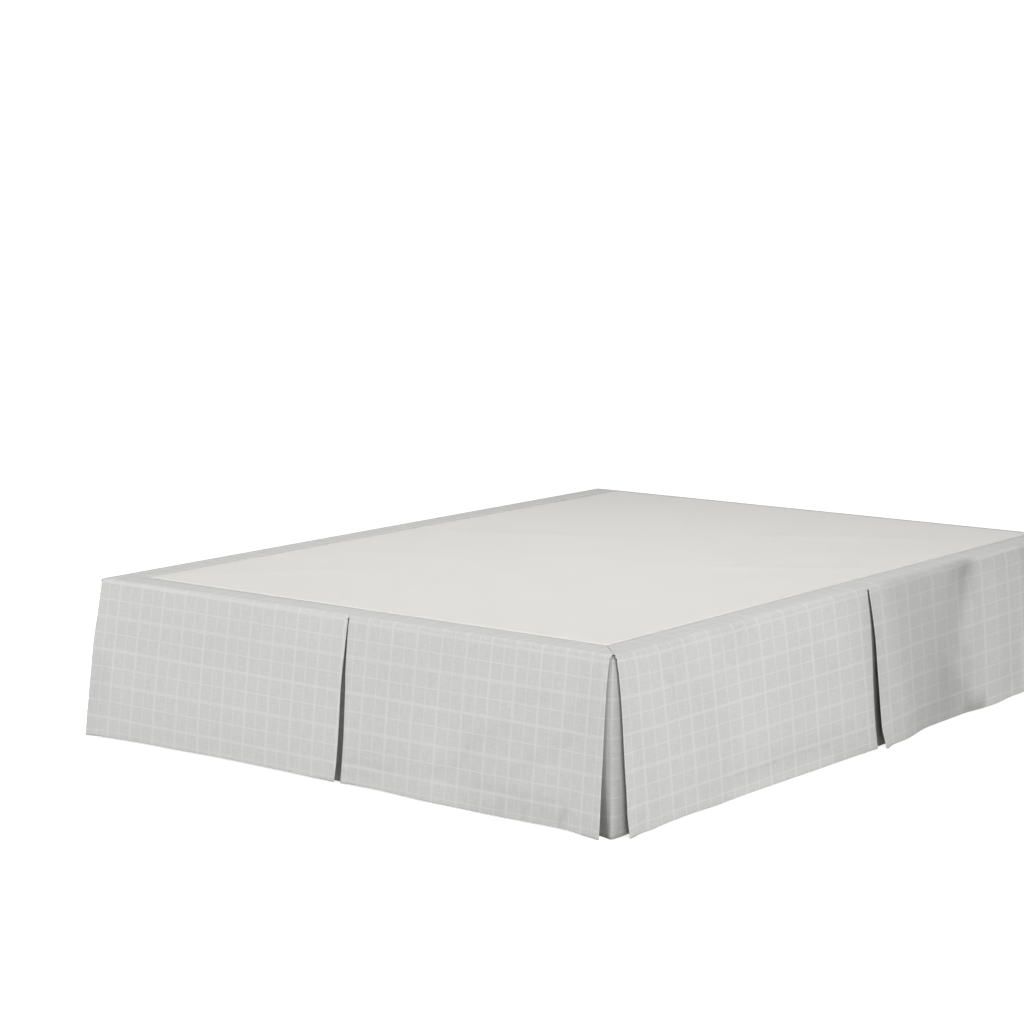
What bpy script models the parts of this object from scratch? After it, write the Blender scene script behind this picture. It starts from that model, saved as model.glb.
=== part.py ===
"""A tailored bed skirt with split corners, hung over a plain box spring on legs.

The skirt is a flat deck with six drop panels sewn round it: two at the foot and two on
each side. Face cloth runs from a border on the deck, over the bed's edge and down to the
hem. Each panel's free end is folded back behind it, and behind each of the five slits
hangs a pleat piece of the same cloth.

Metres, +Z up, the foot of the bed towards -Y. The origin lies on the floor at the middle
of the whole object.
"""

import math

import bmesh
import bpy
from mathutils import Vector

# Driving sizes
BED_WIDTH = 1.524
BED_LENGTH = 2.032
DROP = 0.381
CLOTH = 0.002
GAP = 0.0003
BORDER = 0.075
EDGE_RADIUS = 0.008
RETURN_DEPTH = 0.038
PLEAT_ARM = 0.125

SPRING_HEIGHT = 0.200
SPRING_SETBACK = 0.010
SPRING_EDGE_RADIUS = 0.015
LEG_HEIGHT = 0.180
LEG_RADIUS = 0.025
LEG_FOOT_BEVEL = 0.002
LEG_SIDES = 20
SMOOTH_ANGLE = math.radians(35.0)
LEG_COLUMN = 0.66
LEG_ROW = 0.92

# Where the two centre pleats open, from the foot's left corner and from the foot
FOOT_PLEAT = 0.7975
SIDE_PLEAT = 1.023

# How a free end is folded back: outer radius of the bend, and how much the folded part
# stands away from the face, per metre, at the top and at the hem
BEND_RADIUS = 0.0023
SPLAY_TOP = 0.02
SPLAY_HEM = 0.18
MITRE_LEAN = math.radians(8.0)
HEM_BELLY = 0.25
SWAY_POWER = 1.5

# How each panel's hem hangs, in millimetres: a row for each place along the bed's edge,
# how far the hem stands out there, sways along the edge and is lifted.
HEM_COLUMNS = ("along", "out", "sway", "lift")
HEMS = {
    "foot_left": (
        (0, 61, -5, -2),
        (50, 46, -9, 0),
        (120, 36, -12, 2),
        (250, 30, -13, 3),
        (450, 28, -13, 5),
        (650, 29, -13, 4),
        (797, 32, -11, 5),
    ),
    "foot_right": (
        (797, 32, -11, 5),
        (900, 29, -10, 5),
        (1050, 29, -8, 2),
        (1250, 30, -5, 1),
        (1400, 33, -2, 3),
        (1470, 41, 0, 2),
        (1524, 52, 0, 0),
    ),
    "right_front": (
        (0, 43, -6, 1),
        (60, 36, 1, 2),
        (200, 35, 7, 4),
        (450, 35, 4, 2),
        (700, 40, 0, 0),
        (900, 48, -8, 1),
        (1023, 58, -19, 1),
    ),
    "right_rear": (
        (1023, 68, -19, 0),
        (1080, 62, -16, 0),
        (1150, 57, -14, -1),
        (1250, 41, -8, 3),
        (1350, 33, -3, 1),
        (1450, 33, 0, 1),
        (1550, 43, -5, 1),
        (1620, 46, -8, 0),
        (1700, 40, -8, 1),
        (1800, 36, -8, -1),
        (2032, 34, -4, 0),
    ),
    "left_front": (
        (0, 46, -4, 0),
        (70, 37, 0, 2),
        (240, 33, 4, 3),
        (520, 36, 2, 1),
        (780, 43, -4, 1),
        (1023, 60, -16, 0),
    ),
    "left_rear": (
        (1023, 70, -16, 0),
        (1120, 56, -12, 1),
        (1260, 40, -6, 2),
        (1400, 34, -2, 1),
        (1530, 43, -4, 0),
        (1660, 37, -4, 1),
        (1840, 34, -2, 1),
        (2032, 36, -2, 0),
    ),
}

# Soft folds that reach up the drop, in millimetres: where the fold lies at the top and
# at the hem, its half width, and how far it stands out (or in) there.
# Columns: panel, place at the top, place at the hem, half width, out at top, out at hem.
FOLDS = (
    ("right_rear", 1495, 1440, 75, -6, 0),
    ("right_rear", 1590, 1600, 80, 6, 0),
    ("left_rear", 1390, 1420, 80, -4, 0),
    ("left_rear", 1490, 1530, 75, 4, 0),
    ("foot_right", 1090, 1110, 90, 0, -3),
    ("foot_left", 330, 300, 100, -1, 2),
)
FOLD_FULL_AT = 0.12

# Panels: each lies between two places along an edge of the bed
# Columns: name, edge, start, end, kind of start, kind of end, number of grid columns.
PANELS = (
    ("foot_left", "foot", 0.0, FOOT_PLEAT, "corner_left", "foot_pleat_left", 14),
    ("foot_right", "foot", FOOT_PLEAT, BED_WIDTH, "foot_pleat_right", "corner_foot", 14),
    ("right_front", "right", 0.0, SIDE_PLEAT, "corner_side", "side_pleat_front", 16),
    ("right_rear", "right", SIDE_PLEAT, BED_LENGTH, "side_pleat_rear", "head", 20),
    ("left_front", "left", 0.0, SIDE_PLEAT, "corner_side", "side_pleat_front", 16),
    ("left_rear", "left", SIDE_PLEAT, BED_LENGTH, "side_pleat_rear", "head", 18),
)

# Where a folded end lies down the drop, in millimetres along the bed's edge from its seam
END_COLUMNS = (
    "depth",
    "corner_left",
    "foot_pleat_left",
    "foot_pleat_right",
    "corner_foot",
    "corner_side",
    "side_pleat_front",
    "side_pleat_rear",
)
ENDS = (
    (0.00, 5.5, -1.2, 1.0, -12.5, 2.5, -1.5, 1.5),
    (0.07, 5.5, -3.4, -1.8, -15.2, 6.0, -5.0, 1.0),
    (0.20, 4.0, -7.0, -3.2, -15.0, 5.8, -7.8, -1.2),
    (0.33, 1.0, -10.2, -4.0, -13.4, 3.8, -14.0, -4.5),
    (0.45, -0.5, -11.8, -2.9, -11.3, 0.8, -20.0, -10.5),
    (0.60, -0.8, -12.2, -1.8, -8.8, -2.4, -28.5, -17.5),
    (0.75, -1.2, -13.2, -1.3, -7.0, -3.4, -34.0, -23.5),
    (0.88, -2.2, -15.8, -3.0, -5.0, -6.0, -36.0, -26.0),
    (1.00, -1.8, -20.5, -5.2, -4.0, -7.5, -34.0, -22.0),
)

# Hem corners that curl forward: the panel whose start curls, and how far, in millimetres
TIPS = (("right_rear", 5), ("right_front", 3), ("left_rear", 6))
TIP_REACH = 0.045
TIP_START = 0.86

# Plan of a corner pleat, in millimetres from the bed's corner: x outwards past the side,
# y outwards past the foot, at the seam and at the hem.
# Columns: x at the seam, y at the seam, x at the hem, y at the hem.
CORNER_PLEAT_PLAN = (
    (-125.0, -5.6, -125.0, 5.0),
    (-62.0, -5.6, -58.0, 11.0),
    (-24.0, -5.6, -16.0, 25.0),
    (-8.9, -8.9, 13.0, 31.0),
    (-5.6, -24.0, 17.0, -16.0),
    (-5.6, -62.0, 8.0, -60.0),
    (-5.6, -125.0, 4.0, -125.0),
)
CORNER_PLEAT_STEPS = 3
CORNER_PLEAT_HEM = 0.0040

# Centre pleats, each hung behind a slit in the middle of an edge
# Columns: name, edge, middle, how far out the hem hangs.
CENTRE_PLEATS = (
    ("pleat_foot", "foot", FOOT_PLEAT, 0.014),
    ("pleat_right", "right", SIDE_PLEAT, 0.036),
    ("pleat_left", "left", SIDE_PLEAT, 0.036),
)
CENTRE_PLEAT_SEAM = -0.0056
CENTRE_PLEAT_HEM = 0.0045
CENTRE_PLEAT_STEPS = 6
PLEAT_TOP_DROP = 0.0036

ARC_ANGLES = (0.0, 30.0, 60.0)
DROP_ROWS = 10
DROP_ROW_POWER = 1.5
BEND_ANGLES = (45.0, 90.0, 135.0, 180.0)
RETURN_STEPS = 2
END_CLUSTER = 0.6
SOLVE_STEPS = 4

MM = 0.001
SPRING_TOP = LEG_HEIGHT + SPRING_HEIGHT
TOP = SPRING_TOP + GAP + CLOTH
FOOT_REACH = max(row[1] for row in HEMS["foot_left"]) * MM
BED_CENTRE_Y = FOOT_REACH / 2
FOOT_Y = BED_CENTRE_Y - BED_LENGTH / 2

COLLECTION = "bed_skirt"
MATERIALS = {
    "face_cloth": ((0.60, 0.60, 0.585), 0.9, 0.0),
    "deck_cloth": ((0.74, 0.73, 0.70), 0.9, 0.0),
    "ticking": ((0.66, 0.64, 0.60), 0.9, 0.0),
    "leg_wood": ((0.09, 0.055, 0.035), 0.5, 0.0),
}


def clear_scene():
    for thing in list(bpy.data.objects):
        bpy.data.objects.remove(thing, do_unlink=True)
    for mesh in list(bpy.data.meshes):
        bpy.data.meshes.remove(mesh)


def part_collection():
    collection = bpy.data.collections.new(COLLECTION)
    bpy.context.scene.collection.children.link(collection)
    return collection


def make_material(node_name, finish):
    colour, roughness, metallic = MATERIALS[finish]
    material = bpy.data.materials.new(f"{finish}_{node_name}")
    material.use_nodes = True
    shader = material.node_tree.nodes["Principled BSDF"]
    shader.inputs["Base Color"].default_value = (*colour, 1.0)
    shader.inputs["Roughness"].default_value = roughness
    shader.inputs["Metallic"].default_value = metallic
    return material


def add_object(name, mesh, finish, collection):
    thing = bpy.data.objects.new(name, mesh)
    collection.objects.link(thing)
    mesh.materials.append(make_material(name, finish))
    return thing


def ease(value):
    value = min(max(value, 0.0), 1.0)
    return value * value * (3 - 2 * value)


def read_table(rows, place, column):
    """A smooth value from a table whose first column is the place."""
    last = len(rows) - 1
    if place <= rows[0][0]:
        return rows[0][column]
    if place >= rows[last][0]:
        return rows[last][column]
    index = next(i for i in range(last) if place <= rows[i + 1][0])

    def slope(i):
        before, after = rows[max(i - 1, 0)], rows[min(i + 1, last)]
        return (after[column] - before[column]) / (after[0] - before[0])

    low, high = rows[index], rows[index + 1]
    span = high[0] - low[0]
    x = (place - low[0]) / span
    rise = 3 * x**2 - 2 * x**3
    return (
        low[column] * (1 - rise)
        + high[column] * rise
        + slope(index) * span * (x**3 - 2 * x**2 + x)
        + slope(index + 1) * span * (x**3 - x**2)
    )


def hem_value(panel, along, column):
    return read_table(HEMS[panel], along / MM, HEM_COLUMNS.index(column)) * MM


def belly(depth):
    """The drop leans out faster near the top than at the hem."""
    return depth * (1 + HEM_BELLY - HEM_BELLY * depth)


def fold_out(panel, along, depth):
    total = 0.0
    for name, top, hem, half_width, out_top, out_hem in FOLDS:
        if name != panel:
            continue
        centre = (top + (hem - top) * depth) * MM
        distance = abs(along - centre) / (half_width * MM)
        if distance < 1:
            strength = (out_top + (out_hem - out_top) * depth) * MM * ease(depth / FOLD_FULL_AT)
            total += strength * (1 + math.cos(math.pi * distance)) / 2
    return total


def tip_curl(panel, start, along, depth):
    """How far a curled hem corner stands out."""
    for name, out_by in TIPS:
        if name == panel:
            near = ease(1 - (along - start) / TIP_REACH)
            return out_by * MM * near * ease((depth - TIP_START) / (1 - TIP_START))
    return 0.0


def sway_at(panel, cloth, depth):
    return hem_value(panel, cloth, "sway") * (1 - (1 - depth) ** SWAY_POWER)


def cloth_at(panel, along, depth):
    """The place in the cloth that hangs at a place along the bed's edge."""
    cloth = along
    for _ in range(SOLVE_STEPS):
        cloth = along - sway_at(panel, cloth, depth)
    return cloth


def drop_point(panel, start, cloth, depth):
    """A point of a panel's face: along the edge, out from it, and its height."""
    hem_out = hem_value(panel, cloth, "out")
    hem_height = TOP - math.sqrt(DROP**2 - hem_out**2) + hem_value(panel, cloth, "lift")
    out = hem_out * belly(depth) + fold_out(panel, cloth, depth)
    out += tip_curl(panel, start, cloth, depth)
    height = TOP + (hem_height - TOP) * depth
    return cloth + sway_at(panel, cloth, depth), out, height


def place(edge, along, out, height):
    """World position of a point given along a bed edge and out from it."""
    if edge == "foot":
        return Vector((along - BED_WIDTH / 2, FOOT_Y - out, height))
    side = 1 if edge == "right" else -1
    return Vector((side * (BED_WIDTH / 2 + out), FOOT_Y + along, height))


def end_offset(kind, depth):
    """How far along the edge a panel's end hangs from its seam."""
    if kind == "head":
        return 0.0
    return read_table(ENDS, depth, END_COLUMNS.index(kind)) * MM


def top_setback(kind, out, angle):
    """The same on the border and over the edge: a mitre at a corner, a seam at a pleat."""
    if kind == "head":
        return 0.0
    if "pleat" in kind:
        return GAP / 2
    mitre = -out + CLOTH * math.sin(angle + MITRE_LEAN) + GAP
    return max(mitre, abs(end_offset(kind, 0.0)) if angle > 0 else 0.0)


def column_shares(count):
    """Shares from 0 to 1, closer together near both ends."""
    shares = []
    for i in range(count + 1):
        x = i / count
        shares.append(x - END_CLUSTER * math.sin(2 * math.pi * x) / (2 * math.pi))
    return shares


def top_rows():
    """Rows of the border and the turn over the edge: out, height and angle of the turn."""
    rows = [(-BORDER, TOP, 0.0)]
    for degrees in ARC_ANGLES:
        angle = math.radians(degrees)
        out = -EDGE_RADIUS + EDGE_RADIUS * math.sin(angle)
        rows.append((out, TOP - EDGE_RADIUS * (1 - math.cos(angle)), angle))
    return rows


def drop_depths():
    first = EDGE_RADIUS / DROP
    return [first + (1 - first) * (j / DROP_ROWS) ** DROP_ROW_POWER for j in range(DROP_ROWS + 1)]


def folded_end(name, start, bend_along, towards, depth):
    """The points of one folded end, from the bend to the free edge behind the face.

    towards is +1 at a panel's far end and -1 at its start.
    """
    splay = SPLAY_TOP + (SPLAY_HEM - SPLAY_TOP) * depth
    points = []
    _, base_out, height = drop_point(name, start, cloth_at(name, bend_along, depth), depth)
    for degrees in BEND_ANGLES:
        angle = math.radians(degrees)
        along = bend_along + towards * BEND_RADIUS * math.sin(angle)
        points.append((along, base_out - BEND_RADIUS * (1 - math.cos(angle)), height))
    for i in range(1, RETURN_STEPS + 1):
        back = RETURN_DEPTH * i / RETURN_STEPS
        cloth = cloth_at(name, bend_along - towards * back, depth)
        along, out, height = drop_point(name, start, cloth, depth)
        points.append((along, out - 2 * BEND_RADIUS - splay * back, height))
    return points


def panel_mesh(name, edge, start, end, start_kind, end_kind, columns):
    """The face of one drop panel: border, turn, drop and folded ends, as one sheet."""
    shares = column_shares(columns)
    grid = []
    for out, height, angle in top_rows():
        first = start + top_setback(start_kind, out, angle)
        last = end - top_setback(end_kind, out, angle)
        points = [place(edge, first + (last - first) * x, out, height) for x in shares]
        grid.append(([], points, []))
    for row, depth in enumerate(drop_depths()):
        first = start + end_offset(start_kind, depth)
        last = end + end_offset(end_kind, depth)
        before, after = [], []
        if start_kind != "head":
            first += BEND_RADIUS
            before = folded_end(name, start, first, -1, depth)[::-1]
        if end_kind != "head":
            last -= BEND_RADIUS
            after = folded_end(name, start, last, 1, depth)
        low, high = cloth_at(name, first, depth), cloth_at(name, last, depth)
        face = [drop_point(name, start, low + (high - low) * x, depth) for x in shares]
        if row == 0:
            before, after = [], []
        grid.append([[place(edge, *p) for p in points] for points in (before, face, after)])
    return sheet_mesh(name, grid, flip=edge == "left")


def sheet_mesh(name, grid, flip):
    """A mesh from rows of points. A row is (before, middle, after), and only the middle
    is joined to a row that has no folded ends."""
    cloth = bmesh.new()
    rows = [[[cloth.verts.new(p) for p in part] for part in row] for row in grid]
    for upper, lower in zip(rows, rows[1:]):
        if upper[0] or upper[2]:
            top, bottom = sum(upper, []), sum(lower, [])
        else:
            top, bottom = upper[1], lower[1]
        for a, b, c, d in zip(top, bottom, bottom[1:], top[1:]):
            cloth.faces.new((a, d, c, b) if flip else (a, b, c, d))
    mesh = bpy.data.meshes.new(name)
    cloth.to_mesh(mesh)
    cloth.free()
    return mesh


def thicken(thing):
    """Cloth thickness, laid on behind the face."""
    solid = thing.modifiers.new("cloth thickness", "SOLIDIFY")
    solid.thickness = CLOTH
    solid.offset = -1
    solid.use_even_offset = True
    solid.use_rim = True


def make_panels(collection):
    for row in PANELS:
        thicken(add_object(f"drop_{row[0]}", panel_mesh(*row), "face_cloth", collection))


def make_centre_pleat(name, edge, middle, hem_out, collection):
    """The piece behind a centre slit, hung close behind the folded ends."""
    top = TOP - PLEAT_TOP_DROP
    grid = []
    for j in range(DROP_ROWS + 1):
        depth = j / DROP_ROWS
        out = CENTRE_PLEAT_SEAM + (hem_out - CENTRE_PLEAT_SEAM) * belly(depth)
        height = top + (CENTRE_PLEAT_HEM - top) * depth
        points = []
        for i in range(CENTRE_PLEAT_STEPS + 1):
            along = middle + PLEAT_ARM * (2 * i / CENTRE_PLEAT_STEPS - 1)
            points.append(place(edge, along, out, height))
        grid.append(([], points, []))
    mesh = sheet_mesh(name, grid, flip=edge == "left")
    thicken(add_object(name, mesh, "face_cloth", collection))


def plan_curve(points, steps):
    """A smooth curve through points, with the given number of steps between each pair."""
    curve = []
    last = len(points) - 1
    for i in range(last):
        p0, p1 = points[max(i - 1, 0)], points[i]
        p2, p3 = points[i + 1], points[min(i + 2, last)]
        for k in range(steps):
            x = k / steps
            curve.append(
                p1
                + (p2 - p0) * (0.5 * x)
                + (p0 * 2 - p1 * 5 + p2 * 4 - p3) * (0.5 * x**2)
                + (p1 * 3 - p0 - p2 * 3 + p3) * (0.5 * x**3)
            )
    return curve + [points[last]]


def make_corner_pleat(name, side, collection):
    """The piece behind a corner slit: bent round the corner, and fuller at the hem."""
    top = TOP - PLEAT_TOP_DROP
    seam = [Vector((row[0], row[1])) * MM for row in CORNER_PLEAT_PLAN]
    hem = [Vector((row[2], row[3])) * MM for row in CORNER_PLEAT_PLAN]
    seam_curve = plan_curve(seam, CORNER_PLEAT_STEPS)
    hem_curve = plan_curve(hem, CORNER_PLEAT_STEPS)
    grid = []
    for j in range(DROP_ROWS + 1):
        depth = j / DROP_ROWS
        height = top + (CORNER_PLEAT_HEM - top) * depth
        points = []
        for a, b in zip(seam_curve, hem_curve):
            plan = a + (b - a) * belly(depth)
            points.append(Vector((side * (BED_WIDTH / 2 + plan.x), FOOT_Y - plan.y, height)))
        grid.append(([], points, []))
    mesh = sheet_mesh(name, grid, flip=side < 0)
    thicken(add_object(name, mesh, "face_cloth", collection))


def box_mesh(name, low, high):
    size = Vector(high) - Vector(low)
    box = bmesh.new()
    bmesh.ops.create_cube(box, size=1.0)
    bmesh.ops.scale(box, vec=size, verts=box.verts)
    mesh = bpy.data.meshes.new(name)
    box.to_mesh(mesh)
    box.free()
    return mesh, (Vector(low) + Vector(high)) / 2


def make_deck(collection):
    """The plain cloth that fills the deck inside the border."""
    half = BED_WIDTH / 2 - BORDER - GAP
    low = (-half, FOOT_Y + BORDER + GAP, TOP - CLOTH)
    high = (half, FOOT_Y + BED_LENGTH, TOP)
    mesh, centre = box_mesh("deck", low, high)
    add_object("deck", mesh, "deck_cloth", collection).location = centre


def make_box_spring(collection):
    half = BED_WIDTH / 2 - SPRING_SETBACK
    low = (-half, FOOT_Y + SPRING_SETBACK, LEG_HEIGHT)
    high = (half, FOOT_Y + BED_LENGTH - SPRING_SETBACK, SPRING_TOP)
    mesh, centre = box_mesh("box_spring", low, high)
    spring = add_object("box_spring", mesh, "ticking", collection)
    spring.location = centre
    bevel = spring.modifiers.new("soft edge", "BEVEL")
    bevel.width = SPRING_EDGE_RADIUS
    bevel.segments = 3
    bevel.limit_method = "ANGLE"


def make_legs(collection):
    """Nine round legs under the box spring, three rows of three."""
    number = 0
    height = LEG_HEIGHT - GAP
    for row in (-1, 0, 1):
        for column in (-1, 0, 1):
            number += 1
            leg = bmesh.new()
            bmesh.ops.create_cone(
                leg,
                cap_ends=True,
                segments=LEG_SIDES,
                radius1=LEG_RADIUS,
                radius2=LEG_RADIUS,
                depth=height,
            )
            foot_edges = [e for e in leg.edges if all(v.co.z < 0 for v in e.verts)]
            bmesh.ops.bevel(leg, geom=foot_edges, offset=LEG_FOOT_BEVEL, segments=1, affect="EDGES")
            mesh = bpy.data.meshes.new(f"leg_{number}")
            leg.to_mesh(mesh)
            leg.free()
            mesh.shade_smooth()
            mesh.set_sharp_from_angle(angle=SMOOTH_ANGLE)
            thing = add_object(f"leg_{number}", mesh, "leg_wood", collection)
            thing.location = (column * LEG_COLUMN, BED_CENTRE_Y + row * LEG_ROW, height / 2)


def main():
    clear_scene()
    collection = part_collection()
    make_box_spring(collection)
    make_legs(collection)
    make_deck(collection)
    make_panels(collection)
    for name, edge, middle, hem_out in CENTRE_PLEATS:
        make_centre_pleat(name, edge, middle, hem_out, collection)
    make_corner_pleat("pleat_corner_right", 1, collection)
    make_corner_pleat("pleat_corner_left", -1, collection)


main()
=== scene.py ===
# %% [markdown]
# # A tailored bed skirt on its box spring
#
# The real object is sewn. A plain deck lies under the mattress, and six drop panels of
# check cloth hang from its edge to the floor. Each free end is folded back, and a pleat
# piece hangs behind each slit. Under them stand a box spring and nine legs.
#
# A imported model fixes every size. The steps below give it looks: camera and light, then
# the cloth, the panels, the pleats, the deck, the box spring, the legs and the stitches.

# %% Load the fixed model
import math

import bmesh
import bpy
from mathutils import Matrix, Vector, noise


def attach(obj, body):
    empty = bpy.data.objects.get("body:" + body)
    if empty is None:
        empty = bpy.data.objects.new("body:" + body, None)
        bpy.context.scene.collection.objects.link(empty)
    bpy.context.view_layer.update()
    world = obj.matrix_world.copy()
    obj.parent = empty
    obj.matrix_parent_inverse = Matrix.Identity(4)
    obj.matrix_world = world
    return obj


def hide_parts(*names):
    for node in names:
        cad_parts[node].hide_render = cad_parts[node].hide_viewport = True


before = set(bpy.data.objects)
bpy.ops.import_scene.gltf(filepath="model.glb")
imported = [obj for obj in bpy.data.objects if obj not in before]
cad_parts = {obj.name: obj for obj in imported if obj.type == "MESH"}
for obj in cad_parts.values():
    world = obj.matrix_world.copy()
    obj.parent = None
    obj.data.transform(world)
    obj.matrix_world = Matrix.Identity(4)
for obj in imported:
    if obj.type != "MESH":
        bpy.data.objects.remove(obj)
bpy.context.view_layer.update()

MM = 0.001

# %% [markdown]
# ## Camera
#
# A catalogue picture of a bed is taken from beyond one foot corner, a little above the
# mattress, with a long lens. A long lens keeps the vertical folds nearly parallel. The
# camera could be aimed with a constraint, but a fixed place and turn is simpler to repeat.

# %% Camera
BED_CORNER = Vector((0.762, -0.9855, 0.38))
camera_data = bpy.data.cameras.new("camera")
camera_data.lens = 89.06
camera_data.sensor_width = 36.0
camera = bpy.data.objects.new("camera", camera_data)
camera.location = (3.7122, -5.1277, 1.4191)
camera.rotation_euler = (math.radians(81.7243), 0.0, math.radians(37.8442))
bpy.context.scene.collection.objects.link(camera)
bpy.context.scene.camera = camera
print("camera stands", round((camera.location - BED_CORNER).length, 2), "m from the bed's corner")

# %% [markdown]
# ## Helpers for shader nodes
#
# A material is a graph. Short helpers that add one maths node or one colour mix keep the
# recipes below readable. An effect that several materials share, such as a weave, becomes
# a node group with named sockets, built once and placed in each material.


# %% Node helpers
def feed(tree, socket, value):
    """Sets a socket from a number, a colour or another node's output."""
    if isinstance(value, bpy.types.NodeSocket):
        tree.links.new(value, socket)
    else:
        socket.default_value = value


def calc(tree, operation, *values, clamp=False):
    """Adds one maths node and gives its output."""
    node = tree.nodes.new("ShaderNodeMath")
    node.operation = operation
    node.use_clamp = clamp
    for socket, value in zip(node.inputs, values):
        feed(tree, socket, value)
    return node.outputs[0]


def blend_colour(tree, factor, first, second):
    """Adds one colour mix and gives its output."""
    node = tree.nodes.new("ShaderNodeMix")
    node.data_type = "RGBA"
    for label, value in (("Factor_Float", factor), ("A_Color", first), ("B_Color", second)):
        feed(tree, next(s for s in node.inputs if s.identifier == label), value)
    return next(s for s in node.outputs if s.identifier == "Result_Color")


def fade(tree, value, low, high, at_low=0.0, at_high=1.0):
    """A soft step from one value to another."""
    node = tree.nodes.new("ShaderNodeMapRange")
    node.interpolation_type = "SMOOTHSTEP"
    for label, amount in zip(node.inputs.keys()[:5], (value, low, high, at_low, at_high)):
        feed(tree, node.inputs[label], amount)
    return node.outputs[0]


print("maths, colour mix and fade ready")


# %% Vector and noise helpers
def axes_of(tree, vector):
    """The three parts of a vector."""
    node = tree.nodes.new("ShaderNodeSeparateXYZ")
    tree.links.new(vector, node.inputs[0])
    return node.outputs


def own_place(tree):
    """Where a point lies on its own piece."""
    return tree.nodes.new("ShaderNodeTexCoord").outputs["Object"]


def stretched_noise(tree, vector, scales, detail=2.0):
    """Noise whose grains are longer in one direction than in another."""
    mapping = tree.nodes.new("ShaderNodeMapping")
    feed(tree, mapping.inputs["Vector"], vector)
    mapping.inputs["Scale"].default_value = scales
    node = tree.nodes.new("ShaderNodeTexNoise")
    node.inputs["Scale"].default_value = 1.0
    node.inputs["Detail"].default_value = detail
    tree.links.new(mapping.outputs[0], node.inputs["Vector"])
    return node.outputs[0]


print("axes, place and noise ready")


# %% Node group helpers
def new_group(name, inputs, outputs):
    """A node group, its input sockets and its output sockets."""
    group = bpy.data.node_groups.new(name, "ShaderNodeTree")
    for label, kind, value in inputs:
        socket = group.interface.new_socket(name=label, in_out="INPUT", socket_type=kind)
        if value is not None:
            socket.default_value = value
    for label, kind in outputs:
        group.interface.new_socket(name=label, in_out="OUTPUT", socket_type=kind)
    entry, result = group.nodes.new("NodeGroupInput"), group.nodes.new("NodeGroupOutput")
    return group, entry.outputs, result.inputs


def place_group(tree, group, **values):
    """Places a group with its own values and gives its outputs."""
    node = tree.nodes.new("ShaderNodeGroup")
    node.node_tree = group
    for label, value in values.items():
        feed(tree, node.inputs[label.replace("_", " ")], value)
    return node.outputs


FLOAT, VECTOR = "NodeSocketFloat", "NodeSocketVector"
print("group sockets:", FLOAT, VECTOR)

# %% [markdown]
# ## Light
#
# Pale cloth needs soft light, or its small folds turn into hard stripes. A bright ceiling
# that fades towards the horizon wraps round everything, and large area lights give each
# front a gentle direction. The picture's ground is pure white, as in a catalogue, where
# the sweep is overexposed: the camera sees white, but the cloth gets only the softer glow.

# %% Light
LIGHTS = (
    # name, place, aimed at, width, height, power
    ("front_light", (-3.0, -5.0, 2.2), (-0.2, -1.0, 0.2), 4.4, 2.4, 134.0),
    ("side_light", (5.0, -3.2, 2.0), (0.8, -0.3, 0.2), 3.4, 2.4, 208.0),
    ("ceiling_light", (0.0, 0.0, 3.4), (0.0, 0.0, 0.2), 2.6, 2.6, 64.0),
)


def soft_light(name, place, target, width, height, power):
    data = bpy.data.lights.new(name, "AREA")
    data.shape = "RECTANGLE"
    data.size, data.size_y = width, height
    data.energy = power
    light = bpy.data.objects.new(name, data)
    light.location = place
    aim = Vector(target) - Vector(place)
    light.rotation_euler = aim.to_track_quat("-Z", "Y").to_euler()
    bpy.context.scene.collection.objects.link(light)


for row in LIGHTS:
    soft_light(*row)
print("lights:", [row[0] for row in LIGHTS])

# %% White studio
HORIZON_GLOW, CEILING_GLOW, SEEN_WHITE = 0.09, 0.24, 1.15
world = bpy.data.worlds.new("white studio")
bpy.context.scene.world = world
world.use_nodes = True
sky = world.node_tree
heading = axes_of(sky, sky.nodes.new("ShaderNodeTexCoord").outputs["Generated"])
upward = calc(sky, "MAXIMUM", heading[2], 0.0)
glow = calc(sky, "MULTIPLY_ADD", upward, CEILING_GLOW - HORIZON_GLOW, HORIZON_GLOW)
seen = sky.nodes.new("ShaderNodeLightPath").outputs["Is Camera Ray"]
white = calc(sky, "MAXIMUM", glow, calc(sky, "MULTIPLY", seen, SEEN_WHITE))
sky.links.new(white, sky.nodes["Background"].inputs["Strength"])
sky.nodes["Background"].inputs["Color"].default_value = (1.0, 1.0, 1.0, 1.0)
bpy.context.scene.view_settings.view_transform = "Standard"
print("studio glow from", HORIZON_GLOW, "at the horizon to", CEILING_GLOW, "overhead")

# %% [markdown]
# ## The plain weave
#
# Threads cross over and under each other. A displaced mesh would need millions of faces,
# and an image would not resize, so sine profiles on two crossing thread counts draw it.
# Real thread is uneven: long thin noise along each thread gives the slubs of a linen look.

# %% Weave group
SLUB_RISE = 0.6
weave, w_in, w_out = new_group(
    "plain weave",
    [
        ("Cloth", VECTOR, None), ("Threads", FLOAT, 1100.0),
        ("Slub", FLOAT, 0.5), ("Grain", FLOAT, 0.5), ("Mottle", FLOAT, 0.5),
    ],
    [("Tone", FLOAT), ("Height", FLOAT)],
)
axes = axes_of(weave, w_in["Cloth"])
across = calc(weave, "MULTIPLY", axes[0], w_in["Threads"])
down = calc(weave, "MULTIPLY", axes[1], w_in["Threads"])
warp = calc(weave, "ABSOLUTE", calc(weave, "SINE", calc(weave, "MULTIPLY", across, math.pi)))
weft = calc(weave, "ABSOLUTE", calc(weave, "SINE", calc(weave, "MULTIPLY", down, math.pi)))
steps = calc(weave, "ADD", calc(weave, "FLOOR", across), calc(weave, "FLOOR", down))
over = calc(weave, "PINGPONG", steps, 1.0)
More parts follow.
